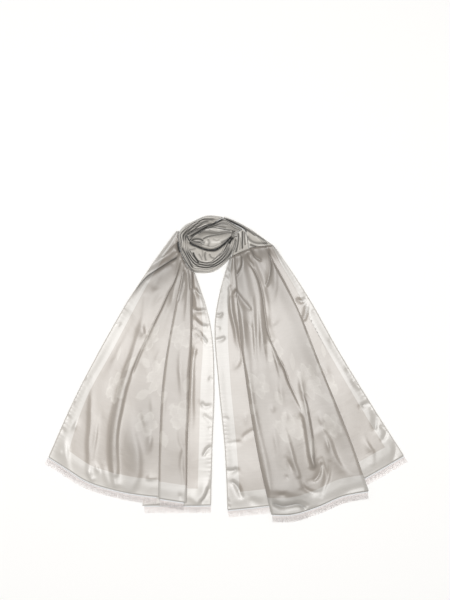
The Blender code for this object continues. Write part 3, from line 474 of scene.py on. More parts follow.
def foldTurn(ending, starting):  # the round of a fold from the end of one panel to the start of the next
    end, start = ending[:, -1], starting[:, 0]
    outward = end[:, :2] - ending[:, -2, :2]
    outward = outward / np.linalg.norm(outward, axis=1, keepdims=True)
    middle, radius = (end + start) / 2, (start[:, 2] - end[:, 2]) / 2
    turn = []
    for step in range(1, lay["foldSteps"]):
        angle = math.pi * step / lay["foldSteps"]
        points = middle.copy()
        points[:, :2] += outward * (np.minimum(np.abs(radius), lay["foldRound"]) * math.sin(angle))[:, None]
        points[:, 2] -= radius * math.cos(angle)
        turn.append(points)
    return np.stack(turn, axis=1)


def dropSurface(drop):  # the middle surface of a drop and where each column lies across the flat cloth
    downs = np.linspace(0.0, 1.0, lay["rows"])
    strips, places, ending = [], [], None
    for index in range(len(drop["panels"])):
        points, across = panelSurface(drop, index, downs)
        if ending is not None:
            strips.append(foldTurn(ending, points))
            places.append(np.full(lay["foldSteps"] - 1, across[0]))
        strips.append(points)
        places.append(across)
        ending = points
    return np.concatenate(strips, axis=1), np.concatenate(places)


# The wound neck: stations along a stretch, with its two borders in plan, the height of its crest and
# the height of its inner border

frontStations = (
    Station((27, 336), (14.5, 333), 16, 11),
    Station((25, 322), (12, 329), 18, 12),
    Station((19, 294), (-7, 310), 22, 13),
    Station((1, 266), (-24, 298.5), 25, 12),
    Station((-30, 244), (-42, 298), 26, 11),
    Station((-62, 240.5), (-57, 302), 27, 11),
    Station((-84, 247), (-68, 306.5), 27, 12),
    Station((-105, 279), (-82, 312), 28, 13),
    Station((-113.5, 308), (-91, 320), 30, 13),
    Station((-117, 336), (-97, 334), 31, 11),
    Station((-103, 357), (-84, 343), 31, 11),
    Station((-78, 370), (-64, 354), 30, 12),
    Station((-50, 382.5), (-46, 361.5), 29, 14),
    Station((-28, 383.3), (-36, 363.5), 28, 16),
    Station((-6, 379.8), (-31, 364), 26, 18),
)
pouchStations = (
    Station((-88.5, 319), (-88, 321), 14, 12),
    Station((-80, 313.2), (-77, 333), 19, 9),
    Station((-66, 307.4), (-62, 341), 22, 9),
    Station((-50, 301.5), (-48, 350), 24, 9),
    Station((-34, 299.4), (-26, 352), 25, 9),
    Station((-18, 304), (0, 348), 24, 10),
    Station((-1, 316.5), (18, 346), 22, 12),
    Station((13, 332.8), (27, 341), 18, 14),
)
backStations = (
    Station((-96, 335.6), (-89.5, 322.5), 11, 8),
    Station((-83.5, 341.8), (-77.5, 334.5), 10, 7),
    Station((-63.5, 352.6), (-62.5, 342.5), 9, 6),
    Station((-46, 360), (-48, 351.6), 8, 6),
    Station((-30.5, 362.8), (-26, 353.6), 9, 6),
    Station((-5, 375.5), (0, 349.6), 11, 6),
    Station((19, 362.5), (18.5, 347.6), 10, 7),
    Station((42, 350), (28, 342), 11, 9),
)
rightStations = (
    Station((-4.2, 380.2), (-3, 377), 18, 12),
    Station((25, 370), (20.5, 363.8), 18, 12),
    Station((60, 351), (45.5, 351), 20, 13),
    Station((85, 334), (53, 339), 20, 14),
    Station((103, 321), (56, 322), 17, 12),
    Station((119.2, 310.2), (58.5, 304), 12, 9),
)
tuckStations = (
    Station((27, 338), (43.5, 349), 17, 14),
    Station((26, 326), (51, 339), 17, 13),
    Station((23.6, 310), (54.6, 322), 16, 11),
    Station((20, 293.6), (57, 310), 13, 8),
    Station((15.5, 282.6), (57.5, 301), 9, 6),
)

# Grooves, by stretch of the neck or side of the drops: between the nested folds of the band and the
# crumples inside it, the folds of the pouch and behind it, the long folds over the right shoulder, the
# upright pleats of the tuck, and the sharp creases of the two drops. Each has its line, depth and width.

grooves = {
    "wrap_front": (
        Groove(((-109, 306), (-101, 290), (-94, 277), (-87, 264), (-80, 252)), 5.0, 2.0),
        Groove(((-104, 306), (-95, 288), (-84, 271), (-73, 260), (-60, 255), (-46, 253.5), (-32, 256), (-17, 262),
                (-5, 270), (5, 280), (13, 293), (19, 309)), 5.0, 1.9),
        Groove(((-99, 307), (-90, 288), (-79, 273), (-68, 264), (-55, 260), (-40, 259), (-26, 262.5), (-11, 272),
                (0, 284), (8, 298), (14, 315)), 5.0, 1.9),
        Groove(((-94, 309), (-86, 292), (-76, 278), (-64, 269), (-50, 265), (-34, 266), (-19, 273), (-6, 285),
                (3, 299), (10, 320)), 4.4, 1.8),
        Groove(((-18, 280), (-6, 293), (2, 306), (7, 322)), 3.6, 1.6),
        Groove(((-111, 300), (-110, 320), (-111, 336), (-100, 347), (-88, 357), (-76, 366), (-64, 375), (-48, 379)),
               3.6, 1.6),
        Groove(((-104, 316), (-104, 332), (-97, 342), (-84, 352), (-70, 363), (-57, 372), (-40, 373), (-22, 373)),
               4.6, 1.8),
        Groove(((-98, 318), (-98, 331), (-91, 340), (-78, 348), (-66, 358), (-53, 366), (-38, 368)), 4.4, 1.8),
        Groove(((20, 334), (8, 323), (-7, 309), (-24, 297.5), (-42, 297), (-57, 301), (-68, 305.5), (-82, 311),
                (-93, 320)), 8.0, 2.3),
        Groove(((30, 337), (22, 331), (14, 322), (8, 312)), 8.0, 2.6),
        Groove(((-81, 293), (-77, 282), (-71, 273), (-65, 265)), 7.0, 2.4),
        Groove(((-49, 294), (-51, 283), (-47, 270)), 3.6, 2.2),
        Groove(((-40, 290), (-35, 280), (-24, 277)), 3.2, 2.0),
        Groove(((-66, 290), (-61, 280), (-57, 271)), 2.6, 1.8),
        Groove(((-92, 300), (-84, 299), (-72, 303)), 2.6, 2.0),
        Groove(((-33, 269), (-22, 280), (-12, 292)), 2.6, 1.6),
        Groove(((-58, 300), (-56, 288), (-60, 278)), 2.0, 1.8),
    ),
    "wrap_inner": (
        Groove(((-74, 338), (-60, 343), (-44, 343), (-28, 340), (-12, 341), (4, 345), (16, 347)), 3.4, 7.0),
        Groove(((-88, 322), (-76, 316), (-62, 317), (-50, 313)), 3.4, 5.0),
        Groove(((-12, 314), (4, 324), (18, 334)), 2.4, 4.0),
        Groove(((-60, 322), (-46, 330), (-30, 334), (-12, 337), (4, 341), (20, 341)), 4.6, 2.4),
        Groove(((-44, 349), (-30, 345), (-14, 343), (2, 344)), 3.2, 2.0),
        Groove(((-84, 321), (-74, 325), (-62, 324), (-54, 318)), 5.0, 3.0),
        Groove(((-66, 336), (-58, 343), (-50, 349)), 3.6, 2.0),
        Groove(((-12, 306), (0, 318), (12, 329), (24, 337)), 3.6, 1.6),
        Groove(((-6, 315), (6, 326), (18, 336)), 3.0, 1.5),
        Groove(((-44, 326), (-40, 316), (-44, 306)), 2.6, 2.6),
        Groove(((-32, 326), (-22, 322), (-14, 324)), 1.4, 2.4),
        Groove(((-78, 314), (-66, 312), (-56, 308)), 3.0, 1.8),
    ),
    "wrap_back": (
        Groove(((-60, 350), (-44, 355), (-28, 358), (-8, 362), (10, 360)), 2.6, 2.0),
        Groove(((-24, 357), (-10, 355), (2, 352)), 2.2, 1.8),
        Groove(((-90, 327), (-76, 338), (-62, 347), (-46, 356), (-31, 361), (-16, 371), (-5, 376)), 5.0, 2.6),
    ),
    "wrap_right": (
        Groove(((-3, 376), (18, 366), (34, 358), (46, 350), (52, 340)), 6.0, 4.0),
        Groove(((4, 376), (22, 367), (42, 355), (62, 344), (84, 330), (106, 316)), 4.0, 1.7),
        Groove(((12, 370), (30, 361), (46, 352), (60, 343), (78, 330)), 3.8, 1.8),
        Groove(((52, 336), (62, 322), (76, 315), (92, 314), (108, 315)), 3.6, 2.6),
        Groove(((60, 312), (72, 307), (84, 303), (100, 304)), 4.4, 2.4),
    ),
    "wrap_tuck": (
        Groove(((43, 347), (43, 330), (42, 313), (43, 299)), 5.5, 1.9),
        Groove(((48, 344), (48, 326), (50, 308)), 4.0, 1.6),
        Groove(((32, 342), (32, 322), (29, 304), (25, 290)), 5.0, 2.2),
        Groove(((37, 330), (37, 312), (36, 296)), 2.6, 1.4),
        Groove(((26, 330), (24, 312), (21, 296)), 4.0, 1.8),
        Groove(((25, 340), (22, 328), (20, 316)), 8.0, 4.0),
    ),
    "left": (
        Groove(((-114, 266), (-118, 245), (-129, 215), (-141, 193), (-151, 171), (-163, 145), (-175, 121), (-187, 96),
                (-198, 71), (-208, 50), (-219, 25), (-229, 0), (-240, -30)), 2.8, 2.2),
        Groove(((-115, 284), (-128, 275), (-140, 269), (-160, 256), (-180, 243), (-198, 229), (-214, 211),
                (-234, 186)), 4.2, 3.8),
        Groove(((-134, 270), (-160, 255), (-182, 241), (-202, 224)), 2.8, 9.0),
        Groove(((-121, 318), (-140, 300), (-160, 278)), 2.0, 3.0),
        Groove(((-78, 150), (-71, 147), (-62, 146), (-50, 149)), 3.0, 3.2),
        Groove(((-77, 102), (-66, 94), (-56, 80), (-44, 66)), 3.2, 2.6),
        Groove(((-78, 88), (-68, 80), (-56, 82)), 2.8, 2.6),
        Groove(((-76, 126), (-66, 115), (-56, 109), (-44, 109)), 2.6, 3.4),
        Groove(((-76, 202), (-66, 190), (-56, 183)), 2.2, 2.6),
        Groove(((-60, -82), (-50, -91), (-38, -90)), 2.2, 2.8),
        Groove(((-56, -220), (-46, -200), (-34, -193)), 2.0, 3.0),
        Groove(((-42, -292), (-50, -316), (-64, -334)), 2.6, 3.4),
        Groove(((-104, 250), (-105, 222), (-112, 192), (-119, 165)), 2.4, 2.2),
        Groove(((-94, 250), (-90, 225), (-86, 198)), 2.0, 2.2),
        Groove(((-118, 320), (-117, 306), (-112, 290)), 5.0, 5.0),
        Groove(((-110, 285), (-100, 264), (-92, 250)), 3.0, 2.6),
    ),
    "right": (
        Groove(((-24, 138), (-15, 136), (-6, 140)), 2.2, 2.6),
        Groove(((-22, 75), (-12, 76), (0, 80)), 2.2, 2.6),
        Groove(((2, -250), (14, -253), (30, -248)), 2.4, 3.0),
        Groove(((14, -280), (28, -288), (38, -306)), 2.6, 3.2),
        Groove(((204, 156), (202, 140), (198, 124)), 3.0, 3.0),
        Groove(((184, 174), (192, 171), (200, 178)), 3.0, 2.6),
        Groove(((340, -90), (352, -86), (364, -82)), 2.6, 3.0),
        Groove(((379, -112), (378, -130), (375, -152)), 2.6, 3.0),
        Groove(((240, -232), (238, -252), (232, -268), (218, -280)), 1.8, 3.0),
        Groove(((194, -58), (203, -80), (210, -110), (216, -145), (220, -180), (222, -215), (223, -240)), 2.0, 2.6),
        Groove(((52, 273), (62, 261), (70, 250), (78, 235), (84, 220), (88, 205), (92, 188), (95, 168), (97, 148),
                (100, 128), (103, 105), (108, 86), (118, 61), (132, 30), (147, 0), (159, -35), (174, -68),
                (188, -104)), 2.4, 2.2),
        Groove(((64, 304), (69, 289), (77, 278), (92, 272)), 3.4, 2.4),
        Groove(((108, 304), (110, 284), (113, 262), (112, 240), (107, 220), (100, 206)), 3.0, 2.4),
        Groove(((40, 284), (42, 264), (36, 246), (26, 232)), 2.6, 2.4),
        Groove(((56, 288), (60, 272), (72, 258)), 2.4, 2.2),
        Groove(((24, 200), (35, 184), (50, 166), (66, 146)), 2.1, 5.0),
        Groove(((116, -332), (128, -338), (142, -342), (160, -340), (178, -337), (192, -342), (204, -349)), 3.4, 4.6),
    ),
}

# Each stretch of the neck: its rows and columns of points, the pitch of the rolls that lie along it, how
# many there are, how far other layers lift its outer border, how far from that border the rolls start, at
# its two ends and at even steps between, the painted shade over its whole cloth (none on the front and the
# pouch, most on the back), and where it starts across and along the cut

neck = {
    "wrap_front": {"stations": frontStations, "rows": 260, "columns": 110, "pitch": 5.6, "rolls": 4, "lift": 0.0,
                   "first": (1.0, 1.0, 1.5, 4.0, 4.0, 2.0, 1.0, 0.5, 0.5, 1.0, 1.0, 1.5, 2.0, 3.0),
                   "paintedLightTone": 1.0, "place": (150.0, 900.0)},
    "wrap_inner": {"stations": pouchStations, "rows": 110, "columns": 70, "pitch": 7.0, "rolls": 1, "lift": 12.0,
                   "first": (0.0, 0.5), "paintedLightTone": 1.0, "place": (180.0, 760.0)},
    "wrap_back": {"stations": backStations, "rows": 120, "columns": 32, "pitch": 6.0, "rolls": 1, "lift": 5.0,
                  "first": (1.0, 2.0), "paintedLightTone": 0.62, "place": (260.0, 1080.0)},
    "wrap_right": {"stations": rightStations, "rows": 120, "columns": 76, "pitch": 4.6, "rolls": 3, "lift": 0.0,
                   "first": (0.0, 1.0, 1.5, 2.0), "paintedLightTone": 0.95, "place": (160.0, 1180.0)},
    "wrap_tuck": {"stations": tuckStations, "rows": 60, "columns": 52, "pitch": 5.6, "rolls": 0, "lift": 0.0,
                  "first": (0.0, 0.0), "paintedLightTone": 0.95, "place": (220.0, 1260.0)},
}
neckForm = {
    "crestPlace": 0.4,  # where the crest lies, from the outer border to the inner one, and how full it is
    "crestRoundness": 0.55,
    "liftFade": 1.5,
    "rollDepth": 4.4,
    "rollWander": 1.2,
    "rollStraight": 5.0,  # mm from the outer border before the rolls wander in full
    "deepest": 0.85,  # no groove takes more than this share of the height
    "gatheredWidth": 380.0,  # mm of the cut that are gathered into the width of a stretch
}
hollowDepth = 5.2  # a hollow this deep gets the full painted shade


def grooveHollow(name, plan):  # how deep the grooves of one piece lie below it
    places = plan.reshape(-1, 2)
    hollow = np.zeros(len(places))
    for groove in grooves[name]:
        hollow = np.maximum(hollow, -grooveRelief(places, groove))
    return hollow.reshape(plan.shape[:2])


def neckSurface(name, settings):  # the middle surface of one stretch, and how far it lies in a hollow
    stations, first = settings["stations"], settings["first"]
    knots = np.linspace(0.0, 1.0, len(stations))
    steps = np.linspace(0.0, 1.0, settings["rows"])
    outer = spline(knots, [station.outer for station in stations], steps)
    inner = spline(knots, [station.inner for station in stations], steps)
    crest, border = spline(knots, [(station.crest, station.border) for station in stations], steps).T[..., None]
    over = np.linspace(0.0, 1.0, settings["columns"])[None, :]
    plan = outer[:, None] + (inner - outer)[:, None] * over[..., None]
    inside = over * np.linalg.norm(inner - outer, axis=1)[:, None]
    along = steps[:, None] * len(stations)
    wander = neckForm["rollWander"] * (np.sin(1.7 * along + 0.8) + 0.5 * np.sin(3.9 * along + 2.1))
    wander = wander * smoothStep(inside / neckForm["rollStraight"])
    first = np.interp(steps, np.linspace(0.0, 1.0, len(first)), first)[:, None]
    phase = (inside - first + wander) / settings["pitch"]
    part = np.clip(phase - np.floor(phase), 0.0, 1.0)
    inRolls = smoothStep(phase * 4.0 + 1.0) * smoothStep((settings["rolls"] - phase) * 4.0 + 1.0)
    cleft = (1.0 - np.sqrt(np.clip(1.0 - (2.0 * part - 1.0) ** 2, 0.0, 1.0))) * inRolls
    place = neckForm["crestPlace"]
    rise = np.sin(np.clip(over / place, 0.0, 1.0) * math.pi / 2) ** neckForm["crestRoundness"]
    fall = smoothStep((over - place) / (1.0 - place))
    body = solidWall / 2 + (crest - solidWall / 2) * rise - (crest - border) * fall
    body = body + settings["lift"] * (1.0 - over) ** neckForm["liftFade"]
    hollow = grooveHollow(name, plan) + neckForm["rollDepth"] * cleft
    height = body - np.minimum(hollow, neckForm["deepest"] * body)
    return np.dstack([plan, height]), np.clip(hollow / hollowDepth, 0.0, 1.0)


# Seams between stretches of cloth: how far from one a piece is moved, and the gap that is kept there

seamReach = 16.0
wallClearance = 1.2
endClearance = 0.9


def seamDistance(places, seam):  # how far each place lies to the left of a seam, and the seam's nearest point
    start, run = seam[:-1], np.diff(seam, axis=0)
    length = np.linalg.norm(run, axis=1)
    keep = length > 1e-6
    start, run, length = start[keep], run[keep], length[keep]
    unit = run / length[:, None]
    left = np.column_stack([-unit[:, 1], unit[:, 0]])
    offset = places[:, None, :] - start[None]
    part = np.clip((offset * unit[None]).sum(axis=2), 0.0, length[None])
    points = start[None] + part[..., None] * unit[None]
    gap = np.linalg.norm(places[:, None, :] - points, axis=2)
    nearest = gap.argmin(axis=1)
    rows = np.arange(len(places))
    onSeam, way = points[rows, nearest], left[nearest]
    side = ((places - onSeam) * way).sum(axis=1)
    pastEnd = ((nearest == 0) & (part[rows, nearest] <= 0)) | (
        (nearest == len(start) - 1) & (part[rows, nearest] >= length[-1]))
    return side, gap[rows, nearest], onSeam, way, pastEnd


def movedClear(grid, seam):  # a stretch of the neck, moved to the left of the seam where it crosses
    flat = grid.reshape(-1, 3)
    side, gap, onSeam, way, pastEnd = seamDistance(flat[:, :2], seam)
    tooNear = (side < wallClearance) & (gap < seamReach) & ~pastEnd
    flat[tooNear, :2] = (onSeam + way * wallClearance)[tooNear]
    return grid


def startedAtSeam(grid, seam, clearance):  # each column of a drop starts where it comes out from below the neck
    rows, columns = grid.shape[:2]
    side, gap, _, _, pastEnd = seamDistance(grid.reshape(-1, 3)[:, :2], seam)
    covered = ((side < clearance) & (gap < 3 * seamReach) & ~pastEnd).reshape(rows, columns)
    side = side.reshape(rows, columns)
    starts = np.zeros(columns)
    for column in range(columns):
        under = np.flatnonzero(covered[: rows // 3, column])
        if len(under):
            last = under[-1]
            low, high = side[last, column], side[last + 1, column]
            starts[column] = last + np.clip((clearance - low) / max(high - low, 1e-6), 0.0, 1.0)
    steps = np.linspace(0.0, 1.0, rows)[:, None]
    where = starts[None] + (rows - 1 - starts[None]) * steps
    low = np.minimum(where.astype(int), rows - 2)
    part = (where - low)[..., None]
    column = np.arange(columns)[None]
    moved = grid[low, column] * (1 - part) + grid[low + 1, column] * part
    _, _, onSeam, way, _ = seamDistance(moved[0, :, :2], seam)
    moved[0, :, :2] = onSeam + way * clearance
    return moved


def neckSurfaces():  # all stretches of the neck, each moved clear of those that it lies below
    grids, hollows = {}, {}
    for name, settings in neck.items():
        grids[name], hollows[name] = neckSurface(name, settings)
    front, right = grids["wrap_front"], grids["wrap_right"]
    frontInside = front[::-1, -1, :2].copy()
    movedClear(right, front[-1, ::-1, :2])
    rightInside = right[::-1, -1, :2].copy()
    pouch = movedClear(grids["wrap_inner"], frontInside)
    back = movedClear(grids["wrap_back"], pouch[:, -1, :2].copy())
    movedClear(back, frontInside)
    movedClear(back, rightInside)
    tuck = movedClear(grids["wrap_tuck"], front[:, 0, :2].copy())
    movedClear(tuck, rightInside)
    movedClear(tuck, back[-1, :, :2].copy())
    movedClear(tuck, pouch[-1, ::-1, :2].copy())
    return grids, hollows


def hexColour(code):  # an sRGB hex code as linear values
    parts = [int(code[place:place + 2], 16) / 255 for place in (1, 3, 5)]
    return tuple(part / 12.92 if part <= 0.04045 else ((part + 0.055) / 1.055) ** 2.4 for part in parts) + (1.0,)


def addNode(tree, kind, settings=()):
    # one node: a setting is a property, an input's value, or a socket or a node to link to the input
    node = tree.nodes.new(kind)
    for name, value in dict(settings).items():
        if isinstance(value, bpy.types.Node):
            value = value.outputs[0]
        if isinstance(value, bpy.types.NodeSocket):
            tree.links.new(value, node.inputs[name])
        elif isinstance(name, str) and hasattr(node, name):
            setattr(node, name, value)
        else:
            node.inputs[name].default_value = value
    return node


def newMaterial(name, values):  # a material and its shader, with the values that are the same all over
    material = bpy.data.materials.new(name)
    material.use_nodes = True
    shader = material.node_tree.nodes["Principled BSDF"]
    for label, value in values.items():
        shader.inputs[label].default_value = value
    return material, shader


# Silk satin, woven: long floats on the face make it glossy along the weft, and the border, the centre
# and the woven figure differ in how much of that float shows

satin = {
    "centre": "#aba298",
    "border": "#c4bfb8",
    "figure": "#d3cdc4",
    "borderWidth": 43.0,  # mm
    "borderBlur": 0.8,
    "roughness": 0.34,
    "figureRoughness": 0.4,
    "anisotropy": 0.45,
    "specular": 1.0,
    "sheen": 0.1,
    "sheenRoughness": 0.4,
    "slubAcross": 55.0,  # mm, the length of a thick place in a thread
    "slubPitch": 2.4,  # mm, drawn far coarser than the real 0.1 mm threads, which would not show
    "slubTones": (0.965, 1.03),
    "slubDepth": 0.08,  # the strength of the bump, and its height in metres
    "slubHeight": 0.0006,
    "crumple": 46.0,  # mm
    "crumpleDepth": 0.16,
    "crumpleHeight": 0.003,
    "hollowShade": 0.16,  # how much painted shade darkens the colour, and how much rougher it gets, per unit of painted shade on the mesh
    "hollowRoughness": 0.04,
}
# where it is gathered round the neck, its many small folds break the gloss up, and its hollows are painted nearly
# black as shade
gatheredSatin = dict(satin, centre="#c8c3bb", border="#cdc8c0", roughness=0.43, anisotropy=0.3, specular=0.8,
                     sheen=0.15, crumple=14.0, crumpleDepth=0.3, hollowShade=0.94)


def satinMaterial(name, paintedLightTone, finish):
    # woven satin with its border, figure, slubs and crumples, darkened by painted shade where its mesh asks for it
    material, shader = newMaterial(name, {
        "Anisotropic": finish["anisotropy"], "Specular IOR Level": finish["specular"],
        "Sheen Weight": finish["sheen"], "Sheen Roughness": finish["sheenRoughness"]})
    tree = material.node_tree
    cloth = addNode(tree, "ShaderNodeUVMap", {"uv_map": "clothMap"})
    size = addNode(tree, "ShaderNodeVectorMath", {"operation": "MULTIPLY", 0: cloth,
                                                  1: (clothWidth, clothLength, 1.0)})
    axes = addNode(tree, "ShaderNodeSeparateXYZ", {0: size})
    edges = []
    for axis, length in (("X", clothWidth), ("Y", clothLength)):
        far = addNode(tree, "ShaderNodeMath", {"operation": "SUBTRACT", 0: length, 1: axes.outputs[axis]})
        edges.append(addNode(tree, "ShaderNodeMath", {"operation": "MINIMUM", 0: axes.outputs[axis], 1: far}))
    nearest = addNode(tree, "ShaderNodeMath", {"operation": "MINIMUM", 0: edges[0], 1: edges[1]})
    band = addNode(tree, "ShaderNodeMapRange", {
        "Value": nearest, "From Min": finish["borderWidth"] - finish["borderBlur"],
        "From Max": finish["borderWidth"] + finish["borderBlur"], "To Min": 1.0, "To Max": 0.0})
    figure = addNode(tree, "ShaderNodeAttribute", {"attribute_name": "figure"}).outputs["Fac"]
    paintedShade = addNode(tree, "ShaderNodeAttribute", {"attribute_name": "paintedShade"}).outputs["Fac"]
    slubPlace = addNode(tree, "ShaderNodeVectorMath", {"operation": "DIVIDE", 0: size,
                                                       1: (finish["slubAcross"], finish["slubPitch"], 1.0)})
    slub = addNode(tree, "ShaderNodeTexNoise", {"Vector": slubPlace, "Scale": 1.0, "Detail": 3.0}).outputs["Fac"]
    place = addNode(tree, "ShaderNodeTexCoord").outputs["Object"]
    crumple = addNode(tree, "ShaderNodeTexNoise", {"Vector": place, "Scale": 1.0 / (finish["crumple"] * mm),
                                                   "Detail": 2.0, "Roughness": 0.45, "Distortion": 0.8})
    figured = addNode(tree, "ShaderNodeMix", {"data_type": "RGBA", 0: figure, 6: hexColour(finish["centre"]),
                                              7: hexColour(finish["figure"])})
    bordered = addNode(tree, "ShaderNodeMix", {"data_type": "RGBA", 0: band, 6: figured.outputs[2],
                                               7: hexColour(finish["border"])})
    low, high = finish["slubTones"]
    shade = addNode(tree, "ShaderNodeMapRange", {"Value": slub, "From Min": 0.3, "From Max": 0.7, "To Min": low,
                                                 "To Max": high})
    # painted light and shade: the piece's multiplier lightens (above 1) and darkens (below 1) it all over, and depth
    # darkens it by the mesh's painted shade
    toned = addNode(tree, "ShaderNodeMath", {"operation": "MULTIPLY", 0: shade, 1: paintedLightTone})
    depth = addNode(tree, "ShaderNodeMath", {"operation": "MULTIPLY_ADD", 0: paintedShade, 1: -finish["hollowShade"],
                                             2: 1.0})
    whole = addNode(tree, "ShaderNodeMath", {"operation": "MULTIPLY", 0: toned, 1: depth})
    colour = addNode(tree, "ShaderNodeVectorMath", {"operation": "SCALE", 0: bordered.outputs[2], "Scale": whole})
    woven = addNode(tree, "ShaderNodeMapRange", {"Value": figure, "To Min": finish["roughness"],
                                                 "To Max": finish["figureRoughness"]})
    rough = addNode(tree, "ShaderNodeMath", {"operation": "MULTIPLY_ADD", 0: paintedShade, 1: finish["hollowRoughness"],
                                             2: woven})
    fine = addNode(tree, "ShaderNodeBump", {"Height": slub, "Strength": finish["slubDepth"],
                                            "Distance": finish["slubHeight"]})
    soft = addNode(tree, "ShaderNodeBump", {"Height": crumple.outputs["Fac"], "Strength": finish["crumpleDepth"],
                                            "Distance": finish["crumpleHeight"], "Normal": fine})
    for label, node in (("Base Color", colour), ("Roughness", rough), ("Normal", soft)):
        tree.links.new(node.outputs[0], shader.inputs[label])
    return material


# The woven figure: open blossoms and leaf sprays scattered over the middle of each end, as places on the
# flat cloth, across and up from the hem, with their sizes in mm, their petals and their turn

Blossom = namedtuple("Blossom", "across up radius petals turn")
Leaf = namedtuple("Leaf", "across up length width turn")

blossoms = (
    Blossom(150, 320, 46, 6, 0.2),
    Blossom(292, 215, 40, 5, 0.9),
    Blossom(318, 410, 35, 6, 0.4),
    Blossom(412, 300, 49, 7, 0.1),
    Blossom(438, 180, 32, 5, 0.5),
    Blossom(500, 395, 38, 6, 1.1),
    Blossom(556, 250, 40, 6, 0.7),
    Blossom(240, 330, 32, 5, 0.3),
)
leaves = (
    Leaf(206, 268, 46, 13, 0.7),
    Leaf(352, 250, 52, 14, 2.3),
    Leaf(372, 362, 50, 13, 1.0),
    Leaf(460, 250, 48, 14, 2.6),
    Leaf(474, 330, 44, 12, 0.5),
    Leaf(340, 150, 46, 13, 1.3),
    Leaf(528, 320, 50, 13, 2.0),
    Leaf(286, 292, 42, 12, 1.7),
    Leaf(600, 330, 44, 12, 0.9),
    Leaf(180, 392, 48, 13, 2.2),
)
figureForm = {
    "petalTone": 0.46,  # how much lighter a petal is inside, on its outline and on its veins, and a leaf
    "outlineTone": 0.34,
    "veinTone": 0.18,
    "leafTone": 0.42,
    "petalBlur": 5.0,  # mm
    "outlineInset": 3.0,
    "outlineWidth": 3.2,
    "innerRing": 0.58,  # the size of the inner petals and of the heart, as shares of the radius
    "heart": 0.18,
}


def figureMask(across, up):  # how much of the woven figure shows at each place of the flat cloth
    mask = np.zeros(across.shape)
    wobble = 1.0 + 0.09 * np.sin(across / 5.3) * np.sin(up / 6.1) + 0.05 * np.sin((across + up) / 3.1)
    for blossom in blossoms:
        dx, dy = across - blossom.across, up - blossom.up
        reach = np.hypot(dx, dy) * wobble
        shown = np.zeros(across.shape)
        for size, shift in ((1.0, 0.0), (figureForm["innerRing"], math.pi / 2)):  # two rings of petals
            angle = (np.arctan2(dy, dx) + blossom.turn) * blossom.petals / 2 + shift
            petal = size * blossom.radius * (0.68 + 0.32 * np.abs(np.cos(angle)))
            whole = smoothStep((petal - reach) / figureForm["petalBlur"] + 0.5)
            outline = np.exp(-((petal - figureForm["outlineInset"] - reach) / figureForm["outlineWidth"]) ** 2)
            vein = np.abs(np.sin(angle)) ** 8 * whole
            shown = np.maximum(shown, figureForm["petalTone"] * whole + figureForm["outlineTone"] * outline
                               + figureForm["veinTone"] * vein)
        heart = smoothStep((figureForm["heart"] * blossom.radius - reach) / 3.0 + 0.5)
        broken = 0.65 + 0.35 * np.sin(across / 7.0 + blossom.turn) * np.sin(up / 9.0)
        mask = np.maximum(mask, (shown - 0.2 * heart) * broken)
    for leaf in leaves:
        dx, dy = across - leaf.across, up - leaf.up
        along = dx * math.cos(leaf.turn) + dy * math.sin(leaf.turn)
        aside = dy * math.cos(leaf.turn) - dx * math.sin(leaf.turn)
        half = leaf.width * np.clip(1.0 - (along / leaf.length * 2) ** 2, 0.0, 1.0)
        mask = np.maximum(mask, figureForm["leafTone"] * smoothStep((half - np.abs(aside)) / 3.0))
    return mask


def linked(name, data):  # a new object in the scene
    piece = bpy.data.objects.new(name, data)
    bpy.context.scene.collection.objects.link(piece)
    return piece


def setAttribute(mesh, label, values):  # one value for each point
    attribute = mesh.attributes.new(label, "FLOAT", "POINT")
    attribute.data.foreach_set("value", np.asarray(values, np.float32))


def setCloth(mesh, flat, figure, paintedShade):
    # each point's place on the flat cloth, as a UV map, with the woven figure and the painted shade there
    corners = np.empty(len(mesh.loops), int)
    mesh.loops.foreach_get("vertex_index", corners)
    places = (flat / (clothWidth, clothLength))[corners]
    mesh.uv_layers.new(name="clothMap").data.foreach_set("uv", places.astype(np.float32).ravel())
    setAttribute(mesh, "figure", figure)
    setAttribute(mesh, "paintedShade", paintedShade)
    mesh.shade_smooth()


def gridNormals(grid):  # which way the cloth faces at each point
    normals = np.cross(np.gradient(grid, axis=1), np.gradient(grid, axis=0))
    length = np.linalg.norm(normals, axis=2, keepdims=True)
    return normals / np.maximum(length, 1e-9)


def clothShell(name, grid, across, up, paintedShade, material):
    # a thin closed shell about a middle surface, with the flat cloth as its UV map
    rows, columns = grid.shape[:2]
    normals = gridNormals(grid)
    sides = [grid + normals * shellWall / 2, grid - normals * shellWall / 2]
    for side in sides:
        side[..., 2] = np.maximum(side[..., 2], floorGap)
    points = placed(np.concatenate([side.reshape(-1, 3) for side in sides]))
    number = np.arange(rows * columns).reshape(rows, columns)
    a, b, c, d = number[:-1, :-1], number[:-1, 1:], number[1:, 1:], number[1:, :-1]
    upper = np.stack([a, d, c, b], axis=-1).reshape(-1, 4)
    under = np.stack([a, b, c, d], axis=-1).reshape(-1, 4) + rows * columns
    rim = np.concatenate([number[0, :-1], number[:-1, -1], number[-1, :0:-1], number[:0:-1, 0]])
    following = np.roll(rim, -1)
    wall = np.stack([rim, following, following + rows * columns, rim + rows * columns], axis=-1)
    mesh = bpy.data.meshes.new(name)
    mesh.from_pydata(points, [], np.concatenate([upper, under, wall]))
    build = bmesh.new()
    build.from_mesh(mesh)
    bmesh.ops.recalc_face_normals(build, faces=build.faces)
    build.to_mesh(mesh)
    build.free()
    figure = figureMask(across, np.minimum(up, clothLength - up))
    setCloth(mesh, np.tile(np.stack([across, up], axis=-1).reshape(-1, 2), (2, 1)),
             np.tile(figure.ravel(), 2), np.tile(paintedShade.ravel(), 2))
    smooth = np.arange(len(mesh.polygons)) < len(upper) + len(under)
    mesh.polygons.foreach_set("use_smooth", smooth)  # the cut edge doesn't shade into the faces
    mesh.materials.append(material)
    return linked(name, mesh)


